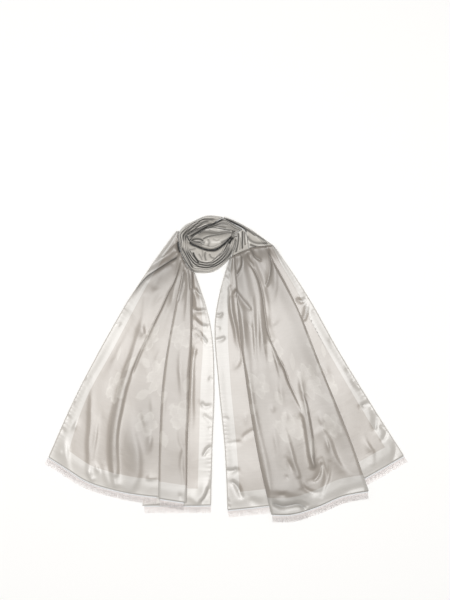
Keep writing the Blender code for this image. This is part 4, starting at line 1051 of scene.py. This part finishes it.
def heightUp(grid):  # how far each point lies from the hem, along its own column
    steps = np.linalg.norm(np.diff(grid, axis=0), axis=2)
    up = np.zeros(grid.shape[:2])
    up[:-1] = np.cumsum(steps[::-1], axis=0)[::-1]
    return up


print("cloth of the neck")
neckGrids, neckHollows = neckSurfaces()
neckPieces = {}
for name, grid in neckGrids.items():
    rows, columns = grid.shape[:2]
    startAcross, startUp = neck[name]["place"]
    across = startAcross + np.tile(np.linspace(0.0, neckForm["gatheredWidth"], columns), (rows, 1))
    up = startUp + heightUp(grid)
    material = satinMaterial("silkSatin_" + name, neck[name]["paintedLightTone"], gatheredSatin)
    # the hollow share is painted shade: it darkens the neck's grooves and rolls nearly to black
    neckPieces[name] = clothShell(name + "_cloth", grid, across, up, neckHollows[name], material)

print("cloth of the drops")
front = neckGrids["wrap_front"][:, 0, :2]
tuckEnd = neckGrids["wrap_tuck"][-1, ::-1, :2]
belowTuck = front[front[:, 1] < tuckEnd[-1, 1] - wallClearance]
seams = {
    "left": (front, wallClearance),
    "right": (np.vstack([neckGrids["wrap_right"][-1, :, :2], tuckEnd, belowTuck]), endClearance),
}

# Painted shade where thin silk lies on its own folded layers, and painted light (a negative strength) where one
# layer lies on the floor: how much, at which place across the cloth and up from the hem, and how far it reaches each
# way

Depth = namedtuple("Depth", "across up acrossReach upReach strength")
paintedShadePatches = {
    "left": (
        Depth(445, 170, 48, 95, 1.1),
        Depth(600, 515, 90, 75, 1.0),
        Depth(613, 15, 110, 40, -0.6),
    ),
    "right": (
        Depth(440, 340, 80, 260, 0.55),
        Depth(280, 50, 110, 70, 0.65),
    ),
}
dropForm = {
    "liftReach": 26.0,  # mm from the seam within which other layers lift the cloth
    "deepest": 0.8,  # no groove takes more than this share of the height
    "neckMiddle": (-20.0, 330.0),  # painted shade darkens the drawn-together cloth round here, as far as the reach
    "neckReach": 190.0,
    # painted shade added near the neck, and in grooves by the square of their depth share
    "neckPaintedShade": 1.5,
    "groovePaintedShade": 6.0,
    "stackHeight": 12.0,  # mm, the height of stacked layers at which their painted shade is full
}
dropPieces, dropGrids, dropPlaces = {}, {}, {}
for side, drop in drops.items():
    grid, places = dropSurface(drop)
    grid = startedAtSeam(grid, *seams[side])
    up = heightUp(grid)
    across = np.tile(places, (len(grid), 1))
    edge = np.minimum(across, clothWidth - across)
    grid[..., 2] += np.maximum(edgePuckers(edge, up, drop["seed"]), 0.0)
    gap = seamDistance(grid.reshape(-1, 3)[:, :2], seams[side][0])[1].reshape(grid.shape[:2])
    grid[..., 2] += drop["lift"] * np.exp(-(gap / dropForm["liftReach"]) ** 2)
    hollow = grooveHollow(side, grid[..., :2])
    grid[..., 2] -= np.minimum(hollow, dropForm["deepest"] * grid[..., 2])
    away = np.linalg.norm(grid[..., :2] - dropForm["neckMiddle"], axis=2)
    # the painted shade: darker on stacked layers, in grooves, near the neck, and in the patches above
    paintedShade = (smoothStep(grid[..., 2] / dropForm["stackHeight"])
               + dropForm["groovePaintedShade"] * (hollow / hollowDepth) ** 2
               + dropForm["neckPaintedShade"] * np.exp(-(away / dropForm["neckReach"]) ** 4))
    for depth in paintedShadePatches[side]:
        paintedShade += depth.strength * np.exp(-((across - depth.across) / depth.acrossReach) ** 2
                                           - ((up - depth.up) / depth.upReach) ** 2)
    up = up if side == "left" else clothLength - up
    material = satinMaterial("silkSatin_" + side + "_drop", drop["paintedLightTone"], satin)
    dropPieces[side] = clothShell(side + "_drop_cloth", grid, across, up, paintedShade, material)
    dropGrids[side], dropPlaces[side] = grid, places

# Eyelash fringe: the drop that carries a stretch, where it starts and ends across the cloth, the top of
# the layer that it lies on, and the place across the cloth where it has run off that layer

Stretch = namedtuple("Stretch", "side start end below runsOff")

fringeStretches = {
    "left_fringe_inner": Stretch("left", 0.0, 169.0, 0.0, 0.0),
    "left_fringe_pleat": Stretch("left", 284.0, 347.0, 3.4, 349.0),
    "left_fringe_outer": Stretch("left", 402.0, 700.0, 3.4, 452.0),
    "right_fringe_inner": Stretch("right", 0.0, 121.0, 0.0, 0.0),
    "right_fringe_pleat": Stretch("right", 206.0, 478.0, 0.0, 0.0),
    "right_fringe_outer": Stretch("right", 548.0, 700.0, 0.0, 0.0),
}
fringe = {
    "gap": 0.35,  # mm from the hem to the woven heading
    "heading": 3.0,
    "headingThickness": 0.9,
    "rootInset": 0.6,  # how far into the heading the threads start
    "length": 17.0,
    "spacing": 0.56,
    "radius": 0.42,  # bundles of a few threads, since single 0.1 mm ones would not show
    "tip": 0.45,  # the thickness that is left at a thread's end, as a share
    "uneven": 0.14,
    "splay": 0.1,  # radians
    "wave": 1.8,
    "waveLength": 9.0,
    "fall": 3.0,
    "fallCurve": 1.4,
    "steps": 5,
    "seed": 11,
}
silkThread = {
    "colour": "#fcf6f3",
    "rootColour": "#f3eae7",
    "clumps": 260.0,  # per metre: threads that lie together look alike
    "roughness": 0.6,
    "roughnessRange": 0.08,
    "sheen": 0.4,
}


def threadMaterial():
    # spun silk ends, bleached and loosely twisted: soft and pale, with a faint sheen
    material, shader = newMaterial("spunSilkFringe", {"Sheen Weight": silkThread["sheen"]})
    tree = material.node_tree
    place = addNode(tree, "ShaderNodeTexCoord").outputs["Object"]
    clumps = addNode(tree, "ShaderNodeTexNoise", {"Vector": place, "Scale": silkThread["clumps"],
                                                  "Detail": 2.0}).outputs["Fac"]
    mixed = addNode(tree, "ShaderNodeMix", {"data_type": "RGBA", 0: clumps, 6: hexColour(silkThread["rootColour"]),
                                            7: hexColour(silkThread["colour"])})
    rough = addNode(tree, "ShaderNodeMapRange", {
        "Value": clumps, "To Min": silkThread["roughness"] - silkThread["roughnessRange"],
        "To Max": silkThread["roughness"] + silkThread["roughnessRange"]})
    tree.links.new(mixed.outputs[2], shader.inputs["Base Color"])
    tree.links.new(rough.outputs[0], shader.inputs["Roughness"])
    return material


def newTree(name, inputs, output):  # a Geometry Nodes tree, its inputs named kind by kind, and its one output
    tree = bpy.data.node_groups.new(name, "GeometryNodeTree")
    for kind, labels in inputs:
        for label in labels:
            tree.interface.new_socket(label, in_out="INPUT", socket_type="NodeSocket" + kind)
    tree.interface.new_socket(output, in_out="OUTPUT", socket_type="NodeSocketGeometry")
    return tree, tree.nodes.new("NodeGroupInput").outputs


def fringeTree():
    # threads set along a hem line: each reaches out from the line, wanders and falls to what it lies on
    tree, given = newTree("eyelashFringe", (
        ("Geometry", ("Hem line",)),
        ("Float", ("Length", "Spacing", "Radius", "Uneven", "Splay", "Wave", "Wave length", "Fall")),
        ("Int", ("Steps", "Seed")),
        ("Material", ("Thread",))), "Fringe")
    line = addNode(tree, "GeometryNodeMeshToCurve", {"Mesh": given["Hem line"]})
    roots = addNode(tree, "GeometryNodeResampleCurve", {"mode": "LENGTH", "Curve": line, "Length": given["Spacing"]})
    tangent = addNode(tree, "GeometryNodeInputTangent")
    outward = addNode(tree, "ShaderNodeVectorMath", {"operation": "CROSS_PRODUCT", 0: tangent, 1: (0.0, 0.0, 1.0)})
    facing = addNode(tree, "FunctionNodeAxesToRotation", {"primary_axis": "X", "secondary_axis": "Z",
                                                          "Secondary Axis": (0.0, 0.0, 1.0), "Primary Axis": outward})
    turn = addNode(tree, "FunctionNodeRandomValue", {"data_type": "FLOAT", 2: -1.0, 3: 1.0, "Seed": given["Seed"]})
    turned = addNode(tree, "ShaderNodeMath", {"operation": "MULTIPLY", 0: turn.outputs[1], 1: given["Splay"]})
    splay = addNode(tree, "ShaderNodeCombineXYZ", {"Z": turned})
    splayed = addNode(tree, "FunctionNodeRotateRotation", {"rotation_space": "LOCAL", "Rotation": facing,
                                                           "Rotate By": splay})
    shortest = addNode(tree, "ShaderNodeMath", {"operation": "SUBTRACT", 0: 1.0, 1: given["Uneven"]})
    reach = addNode(tree, "FunctionNodeRandomValue", {"data_type": "FLOAT", 2: shortest, 3: 1.0,
                                                      "Seed": given["Seed"]})
    size = addNode(tree, "ShaderNodeCombineXYZ", {"Y": 1.0, "Z": 1.0, "X": reach.outputs[1]})
    end = addNode(tree, "ShaderNodeCombineXYZ", {"X": given["Length"]})
    thread = addNode(tree, "GeometryNodeCurvePrimitiveLine", {"End": end})
    steps = addNode(tree, "GeometryNodeResampleCurve", {"Curve": thread, "Count": given["Steps"]})
    along = addNode(tree, "GeometryNodeSplineParameter").outputs["Factor"]
    marked = addNode(tree, "GeometryNodeStoreNamedAttribute", {"data_type": "FLOAT", "domain": "POINT",
                                                               "Name": "reach", "Geometry": steps,
                                                               "Value": along})
    taper = addNode(tree, "ShaderNodeMapRange", {"Value": along, "To Min": 1.0, "To Max": fringe["tip"]})
    profile = addNode(tree, "GeometryNodeCurvePrimitiveCircle", {"Resolution": 3, "Radius": given["Radius"]})
    tube = addNode(tree, "GeometryNodeCurveToMesh", {"Fill Caps": True, "Curve": marked, "Profile Curve": profile,
                                                     "Scale": taper})
    aside = addNode(tree, "ShaderNodeSeparateXYZ", {0: addNode(tree, "GeometryNodeInputPosition")})
    rounded = addNode(tree, "GeometryNodeStoreNamedAttribute", {"data_type": "FLOAT", "domain": "POINT",
                                                                "Name": "round", "Geometry": tube,
                                                                "Value": aside.outputs[2]})
    threads = addNode(tree, "GeometryNodeInstanceOnPoints", {"Points": roots, "Instance": rounded,
                                                             "Rotation": splayed, "Scale": size})
    whole = addNode(tree, "GeometryNodeRealizeInstances", {"Geometry": threads})
    reached = addNode(tree, "GeometryNodeInputNamedAttribute", {"data_type": "FLOAT", "Name": "reach"})
    lies = addNode(tree, "GeometryNodeInputNamedAttribute", {"data_type": "FLOAT", "Name": "liesOn"})
    position = addNode(tree, "GeometryNodeInputPosition")
    pitch = addNode(tree, "ShaderNodeMath", {"operation": "DIVIDE", 0: 1.0, 1: given["Wave length"]})
    noise = addNode(tree, "ShaderNodeTexNoise", {"Detail": 1.0, "Vector": position, "Scale": pitch})
    centred = addNode(tree, "ShaderNodeVectorMath", {"operation": "SUBTRACT", 0: noise.outputs["Color"],
                                                     1: (0.5, 0.5, 0.5)})
    swing = addNode(tree, "ShaderNodeMath", {"operation": "MULTIPLY", 0: reached, 1: given["Wave"]})
    wander = addNode(tree, "ShaderNodeVectorMath", {"operation": "SCALE", 0: centred, "Scale": swing})
    squared = addNode(tree, "ShaderNodeMath", {"operation": "POWER", 0: reached, 1: fringe["fallCurve"]})
    sinking = addNode(tree, "ShaderNodeMath", {"operation": "MULTIPLY", 0: squared, 1: given["Fall"]})
    moved = addNode(tree, "ShaderNodeVectorMath", {"operation": "ADD", 0: position, 1: wander})
    parts = addNode(tree, "ShaderNodeSeparateXYZ", {0: moved})
    lowered = addNode(tree, "ShaderNodeMath", {"operation": "SUBTRACT", 0: parts.outputs[2], 1: sinking})
    thick = addNode(tree, "GeometryNodeInputNamedAttribute", {"data_type": "FLOAT", "Name": "round"})
    support = addNode(tree, "ShaderNodeMath", {"operation": "ADD", 0: lies, 1: thick})
    resting = addNode(tree, "ShaderNodeMath", {"operation": "MAXIMUM", 0: lowered, 1: support})
    final = addNode(tree, "ShaderNodeCombineXYZ", {"X": parts.outputs[0], "Y": parts.outputs[1], "Z": resting})
    laid = addNode(tree, "GeometryNodeSetPosition", {"Geometry": whole, "Position": final})
    coloured = addNode(tree, "GeometryNodeSetMaterial", {"Geometry": laid, "Material": given["Thread"]})
    addNode(tree, "NodeGroupOutput", {0: coloured})
    return tree


def grown(name, base, tree, values):  # the tree's result on a base mesh, as a plain mesh object
    piece = linked(name, base)
    modifier = piece.modifiers.new("grown", "NODES")
    modifier.node_group = tree
    sockets = {item.name: item.identifier for item in tree.interface.items_tree if item.in_out == "INPUT"}
    for label, value in values.items():
        modifier[sockets[label]] = value
    mesh = bpy.data.meshes.new_from_object(piece.evaluated_get(bpy.context.evaluated_depsgraph_get()))
    piece.modifiers.remove(modifier)
    piece.data = mesh
    mesh.name = name
    return piece


def lineMesh(name, points):  # a line that a tree grows a piece along
    line = bpy.data.meshes.new(name + "_line")
    line.from_pydata(placed(points), [(step, step + 1) for step in range(len(points) - 1)], [])
    return line


def hemLine(stretch):  # the hem of a stretch in plan order, how it runs outwards, and what lies below it
    grid, places = dropGrids[stretch.side], dropPlaces[stretch.side]
    shown = np.flatnonzero((places >= stretch.start) & (places <= stretch.end))
    points, across = grid[-1, shown].copy(), places[shown]
    lies = np.where(across < stretch.runsOff, stretch.below, 0.0)
    if points[0, 0] > points[-1, 0]:
        points, lies = points[::-1], lies[::-1]
    run = np.gradient(points[:, :2], axis=0)
    run = run / np.linalg.norm(run, axis=1, keepdims=True)
    kernel = np.ones(5) / 5
    run = np.column_stack([np.convolve(np.pad(run[:, axis], 2, mode="edge"), kernel, "valid") for axis in (0, 1)])
    outward = np.column_stack([run[:, 1], -run[:, 0]])
    return points, outward / np.linalg.norm(outward, axis=1, keepdims=True), lies


def headingStrip(points, outward):  # the narrow woven strip beyond the hem that holds the threads
    rows = []
    half = fringe["headingThickness"] / 2
    for distance, height in ((0.0, half), (fringe["heading"], half), (fringe["heading"], -half), (0.0, -half)):
        plan = points[:, :2] + outward * (fringe["gap"] + distance)
        level = np.maximum(points[:, 2] + height, floorGap)
        rows.append(np.column_stack([plan, level]))
    count = len(points)
    corners = placed(np.concatenate(rows))
    faces = []
    for step in range(count - 1):
        for side in range(4):
            here, beside = side * count + step, (side + 1) % 4 * count + step
            faces.append((here, here + 1, beside + 1, beside))
    ends = [side * count for side in range(4)]
    faces += [tuple(ends), tuple(corner + count - 1 for corner in reversed(ends))]
    return corners, faces


def fringePiece(name, stretch, tree, material):  # the threads and the heading of one stretch, as one piece
    points, outward, lies = hemLine(stretch)
    roots = points.copy()
    roots[:, :2] += outward * (fringe["gap"] + fringe["heading"] - fringe["rootInset"])
    line = lineMesh(name, roots)
    setAttribute(line, "liesOn", (lies + fringe["radius"] + floorGap) * mm)
    piece = grown(name + "_threads", line, tree, {
        "Length": fringe["length"] * mm, "Spacing": fringe["spacing"] * mm, "Radius": fringe["radius"] * mm,
        "Uneven": fringe["uneven"], "Splay": fringe["splay"], "Wave": fringe["wave"] * mm,
        "Wave length": fringe["waveLength"] * mm, "Fall": fringe["fall"] * mm, "Steps": fringe["steps"],
        "Seed": fringe["seed"], "Thread": material})
    build = bmesh.new()
    build.from_mesh(piece.data)
    corners, faces = headingStrip(points, outward)
    made = [build.verts.new(corner) for corner in corners]
    strip = [build.faces.new([made[corner] for corner in face]) for face in faces]
    bmesh.ops.recalc_face_normals(build, faces=strip)
    build.to_mesh(piece.data)
    build.free()
    piece.data.shade_smooth()
    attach(piece, "root")
    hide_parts(name)
    return piece


rolledEdge = {
    "colour": "#cdc8c1",
    "roughness": 0.5,
    # the thread is painted darker than ivory, as painted shade of the puckers round each stitch
    "threadPaintedShadeColour": "#a39d94",
    "threadRoughness": 0.6,
    "sheen": 0.2,
    "firstRow": 4,  # the roll starts this many rows of the drop below the seam
    "radius": 0.9,  # mm
    "step": 2.5,
    "uneven": 0.5,
    "fullest": 1.15,  # the thickest place of the roll, as a share of the radius
    "stitchPitch": 5.2,
    "stitchLength": 2.6,
    "stitchRadius": 0.3,
    "slant": 0.5,  # radians
    "seed": 4,
}


def rolledEdgeTree():
    # a rolled hem along an edge line: an uneven roll of cloth, held by small slanting stitches over it
    tree, given = newTree("rolledEdge", (
        ("Geometry", ("Edge line",)),
        ("Float", ("Radius", "Step", "Uneven", "Stitch pitch", "Stitch length", "Stitch radius", "Slant")),
        ("Int", ("Seed",)),
        ("Material", ("Cloth", "Thread"))), "Rolled hem")
    line = addNode(tree, "GeometryNodeMeshToCurve", {"Mesh": given["Edge line"]})
    path = addNode(tree, "GeometryNodeResampleCurve", {"mode": "LENGTH", "Curve": line, "Length": given["Step"]})
    least = addNode(tree, "ShaderNodeMath", {"operation": "SUBTRACT", 0: 1.0, 1: given["Uneven"]})
    size = addNode(tree, "FunctionNodeRandomValue", {"data_type": "FLOAT", 2: least, 3: 1.15, "Seed": given["Seed"]})
    thick = addNode(tree, "GeometryNodeCurvePrimitiveCircle", {"Resolution": 6, "Radius": given["Radius"]})
    roll = addNode(tree, "GeometryNodeCurveToMesh", {"Fill Caps": True, "Curve": path, "Profile Curve": thick,
                                                     "Scale": size.outputs[1]})
    places = addNode(tree, "GeometryNodeResampleCurve", {"mode": "LENGTH", "Curve": line,
                                                         "Length": given["Stitch pitch"]})
    tangent = addNode(tree, "GeometryNodeInputTangent")
    facing = addNode(tree, "FunctionNodeAxesToRotation", {"primary_axis": "Y", "secondary_axis": "Z",
                                                          "Secondary Axis": (0.0, 0.0, 1.0), "Primary Axis": tangent})
    lean = addNode(tree, "ShaderNodeCombineXYZ", {"Z": given["Slant"]})
    slanting = addNode(tree, "FunctionNodeRotateRotation", {"rotation_space": "LOCAL", "Rotation": facing,
                                                            "Rotate By": lean})
    half = addNode(tree, "ShaderNodeMath", {"operation": "MULTIPLY", 0: given["Stitch length"], 1: 0.5})
    less = addNode(tree, "ShaderNodeMath", {"operation": "MULTIPLY", 0: given["Stitch length"], 1: -0.5})
    above = addNode(tree, "ShaderNodeMath", {"operation": "MULTIPLY", 0: given["Radius"], 1: 1.05})
    start = addNode(tree, "ShaderNodeCombineXYZ", {"X": less})
    middle = addNode(tree, "ShaderNodeCombineXYZ", {"Z": above})
    end = addNode(tree, "ShaderNodeCombineXYZ", {"X": half})
    arch = addNode(tree, "GeometryNodeCurveQuadraticBezier", {"Resolution": 4, "Start": start, "Middle": middle,
                                                              "End": end})
    thin = addNode(tree, "GeometryNodeCurvePrimitiveCircle", {"Resolution": 4, "Radius": given["Stitch radius"]})
    stitch = addNode(tree, "GeometryNodeCurveToMesh", {"Fill Caps": True, "Curve": arch, "Profile Curve": thin})
    marked = addNode(tree, "GeometryNodeStoreNamedAttribute", {"data_type": "FLOAT", "domain": "POINT",
                                                               "Name": "stitch", "Value": 1.0, "Geometry": stitch})
    stitches = addNode(tree, "GeometryNodeInstanceOnPoints", {"Points": places, "Instance": marked,
                                                              "Rotation": slanting})
    joined = tree.nodes.new("GeometryNodeJoinGeometry")
    for part in (roll, stitches):
        tree.links.new(part.outputs[0], joined.inputs[0])
    whole = addNode(tree, "GeometryNodeRealizeInstances", {"Geometry": joined})
    clothed = addNode(tree, "GeometryNodeSetMaterial", {"Geometry": whole, "Material": given["Cloth"]})
    stitched = addNode(tree, "GeometryNodeInputNamedAttribute", {"data_type": "FLOAT", "Name": "stitch"})
    threaded = addNode(tree, "GeometryNodeSetMaterial", {"Geometry": clothed, "Selection": stitched,
                                                         "Material": given["Thread"]})
    addNode(tree, "NodeGroupOutput", {0: threaded})
    return tree


def rolledEdgePiece(name, drop, column, tree, materials):  # the roll along one column of a drop's points
    points = dropGrids[drop][rolledEdge["firstRow"]:-1, column].copy()
    points[:, 2] = np.maximum(points[:, 2], rolledEdge["radius"] * rolledEdge["fullest"] + floorGap)
    piece = grown(name, lineMesh(name, points), tree, {
        "Radius": rolledEdge["radius"] * mm, "Step": rolledEdge["step"] * mm, "Uneven": rolledEdge["uneven"],
        "Stitch pitch": rolledEdge["stitchPitch"] * mm, "Stitch length": rolledEdge["stitchLength"] * mm,
        "Stitch radius": rolledEdge["stitchRadius"] * mm, "Slant": rolledEdge["slant"],
        "Seed": rolledEdge["seed"] + column, "Cloth": materials[0], "Thread": materials[1]})
    piece.data.shade_smooth()
    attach(piece, "root")
    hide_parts(drop + "_drop")
    return piece


print("rolled edges")
# the border's satin, rolled, and the ivory silk sewing thread that holds it, painted darker as the shade of the
# puckers at its stitches: both soft, with little gloss
rollSatin, shadedSewingThread = [
    newMaterial(name, {"Base Color": hexColour(rolledEdge[colour]), "Roughness": rolledEdge[roughness],
                       "Sheen Weight": rolledEdge["sheen"]})[0]
    for name, colour, roughness in (("rolledSilkSatin", "colour", "roughness"),
                                    ("silkSewingThreadPaintedShade", "threadPaintedShadeColour", "threadRoughness"))]
rolls = rolledEdgeTree()
rolledPieces = {}
for side, grid in dropGrids.items():
    rolledPieces[side] = [rolledEdgePiece(side + "_" + label + "_rolled_edge", side, column, rolls,
                                          (rollSatin, shadedSewingThread))
                          for label, column in (("inner", 0), ("outer", grid.shape[1] - 1))]

print("fringe")
silk, eyelashes = threadMaterial(), fringeTree()
fringePieces = {name: fringePiece(name, stretch, eyelashes, silk) for name, stretch in fringeStretches.items()}

print("hidden layers")
# the layers inside the heap, seen only between the others: the solid's form, a little lower, and ridged, and
# painted nearly black all over as the shade between the others
layers = {
    "height": 0.42,
    "ridge": 1.1,
    "ridgeFull": 6.0,  # the ridges are at their highest where the heap is this high
    "pitch": 9.0,
    "sway": 4.0,
    "swayLength": 21.0,
    "cuts": 3,
    "place": (350.0, 700.0),  # mm across and along the cloth, at the frame's origin
    "paintedLightTone": 0.8,
    "fill": 0.9,
}
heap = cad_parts["neck_layers"]
build = bmesh.new()
build.from_mesh(heap.data)
build.transform(heap.matrix_world)
bmesh.ops.remove_doubles(build, verts=build.verts, dist=0.00001)
bmesh.ops.subdivide_edges(build, edges=build.edges, cuts=layers["cuts"], use_grid_fill=True)
for vertex in build.verts:
    x, y, z = vertex.co / mm
    sway = layers["sway"] * math.sin(x / layers["swayLength"])
    ridge = layers["ridge"] * math.sin(2 * math.pi * (y + sway) / layers["pitch"])
    vertex.co.z = max(layers["height"] * z + ridge * min(1.0, z / layers["ridgeFull"]), floorGap) * mm
bmesh.ops.recalc_face_normals(build, faces=build.faces)
mesh = bpy.data.meshes.new("neck_layers_painted_shade_cloth")
build.to_mesh(mesh)
build.free()
count = len(mesh.vertices)
flat = np.array([(vertex.co.x / mm, vertex.co.y / mm) for vertex in mesh.vertices]) + layers["place"]
# a painted shade of 1 everywhere, which with the gathered satin paints the heap nearly black
setCloth(mesh, flat, np.zeros(count), np.ones(count))
mesh.materials.append(satinMaterial("silkSatin_neck_layers_painted_shade", layers["paintedLightTone"], gatheredSatin))
heapPiece = linked("neck_layers_painted_shade_cloth", mesh)
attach(heapPiece, "root")
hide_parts("neck_layers")

# the cut of what shows of each stretch: its width and length in metres, its flat area where a slanting
# seam or a fold hides the rest, and how it is held
cuts = {
    "left_drop": ((0.700, 0.640), 0.330, "laid"),
    "right_drop": ((0.700, 0.640), 0.340, "laid"),
    "wrap_front": ((0.090, 0.390), 0.0255, "gathered"),
    "wrap_inner": ((0.074, 0.132), 0.0078, "gathered"),
    "wrap_back": ((0.032, 0.156), 0.0043, "gathered"),
    "wrap_right": ((0.066, 0.146), 0.0062, "gathered"),
    "wrap_tuck": ((0.056, 0.060), 0.0032, "gathered"),
}
sheets = {side + "_drop": piece for side, piece in dropPieces.items()} | neckPieces
for name, piece in sheets.items():
    flat, area, held = cuts[name]
    side = name.removesuffix("_drop")
    sewnOn = [fringePieces[stretch] for stretch in fringePieces if stretch.startswith(side + "_fringe")]
    sewnOn += rolledPieces.get(side, [])
    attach(piece, "root")
    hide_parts(name)

print("camera, floor and light")
studio = {
    "cameraPlace": (-0.0032, 0.1723, 3.542),
    "lens": 85.0,
    "floorSize": 30.0,
    "floorColour": "#fbfaf8",
    "floorRoughness": 0.9,
    "world": 0.22,
    "lights": (
        # name, place, size, power
        ("softboxAbove", (0.0, 0.3, 4.6), 2.5, 176.0),
        ("bankLeft", (-2.6, 0.7, 1.7), 1.8, 12.0),
        ("bankRight", (2.6, 0.3, 1.7), 1.8, 7.0),
    ),
}
camera = linked("camera", bpy.data.cameras.new("camera"))
camera.data.lens = studio["lens"]
camera.location = studio["cameraPlace"]
bpy.context.scene.camera = camera

# uncoated background paper, pale and without gloss
paper, _ = newMaterial("matteBackgroundPaper", {"Base Color": hexColour(studio["floorColour"]),
                                                "Roughness": studio["floorRoughness"]})
floorMesh = bpy.data.meshes.new("floor")
half = studio["floorSize"] / 2
floorMesh.from_pydata([(-half, -half, 0), (half, -half, 0), (half, half, 0), (-half, half, 0)], [], [(0, 1, 2, 3)])
floorMesh.materials.append(paper)
linked("floor", floorMesh)

for name, place, size, power in studio["lights"]:
    lamp = bpy.data.lights.new(name, "AREA")
    lamp.size, lamp.energy = size, power
    light = linked(name, lamp)
    light.location = place
    light.rotation_euler = Vector(-np.array(place)).to_track_quat("-Z", "Y").to_euler()  # towards the middle
world = bpy.data.worlds.new("studio")
world.use_nodes = True
background = world.node_tree.nodes["Background"]
background.inputs["Color"].default_value = (1.0, 1.0, 1.0, 1.0)
background.inputs["Strength"].default_value = studio["world"]
bpy.context.scene.world = world
bpy.context.scene.view_settings.view_transform = "Standard"
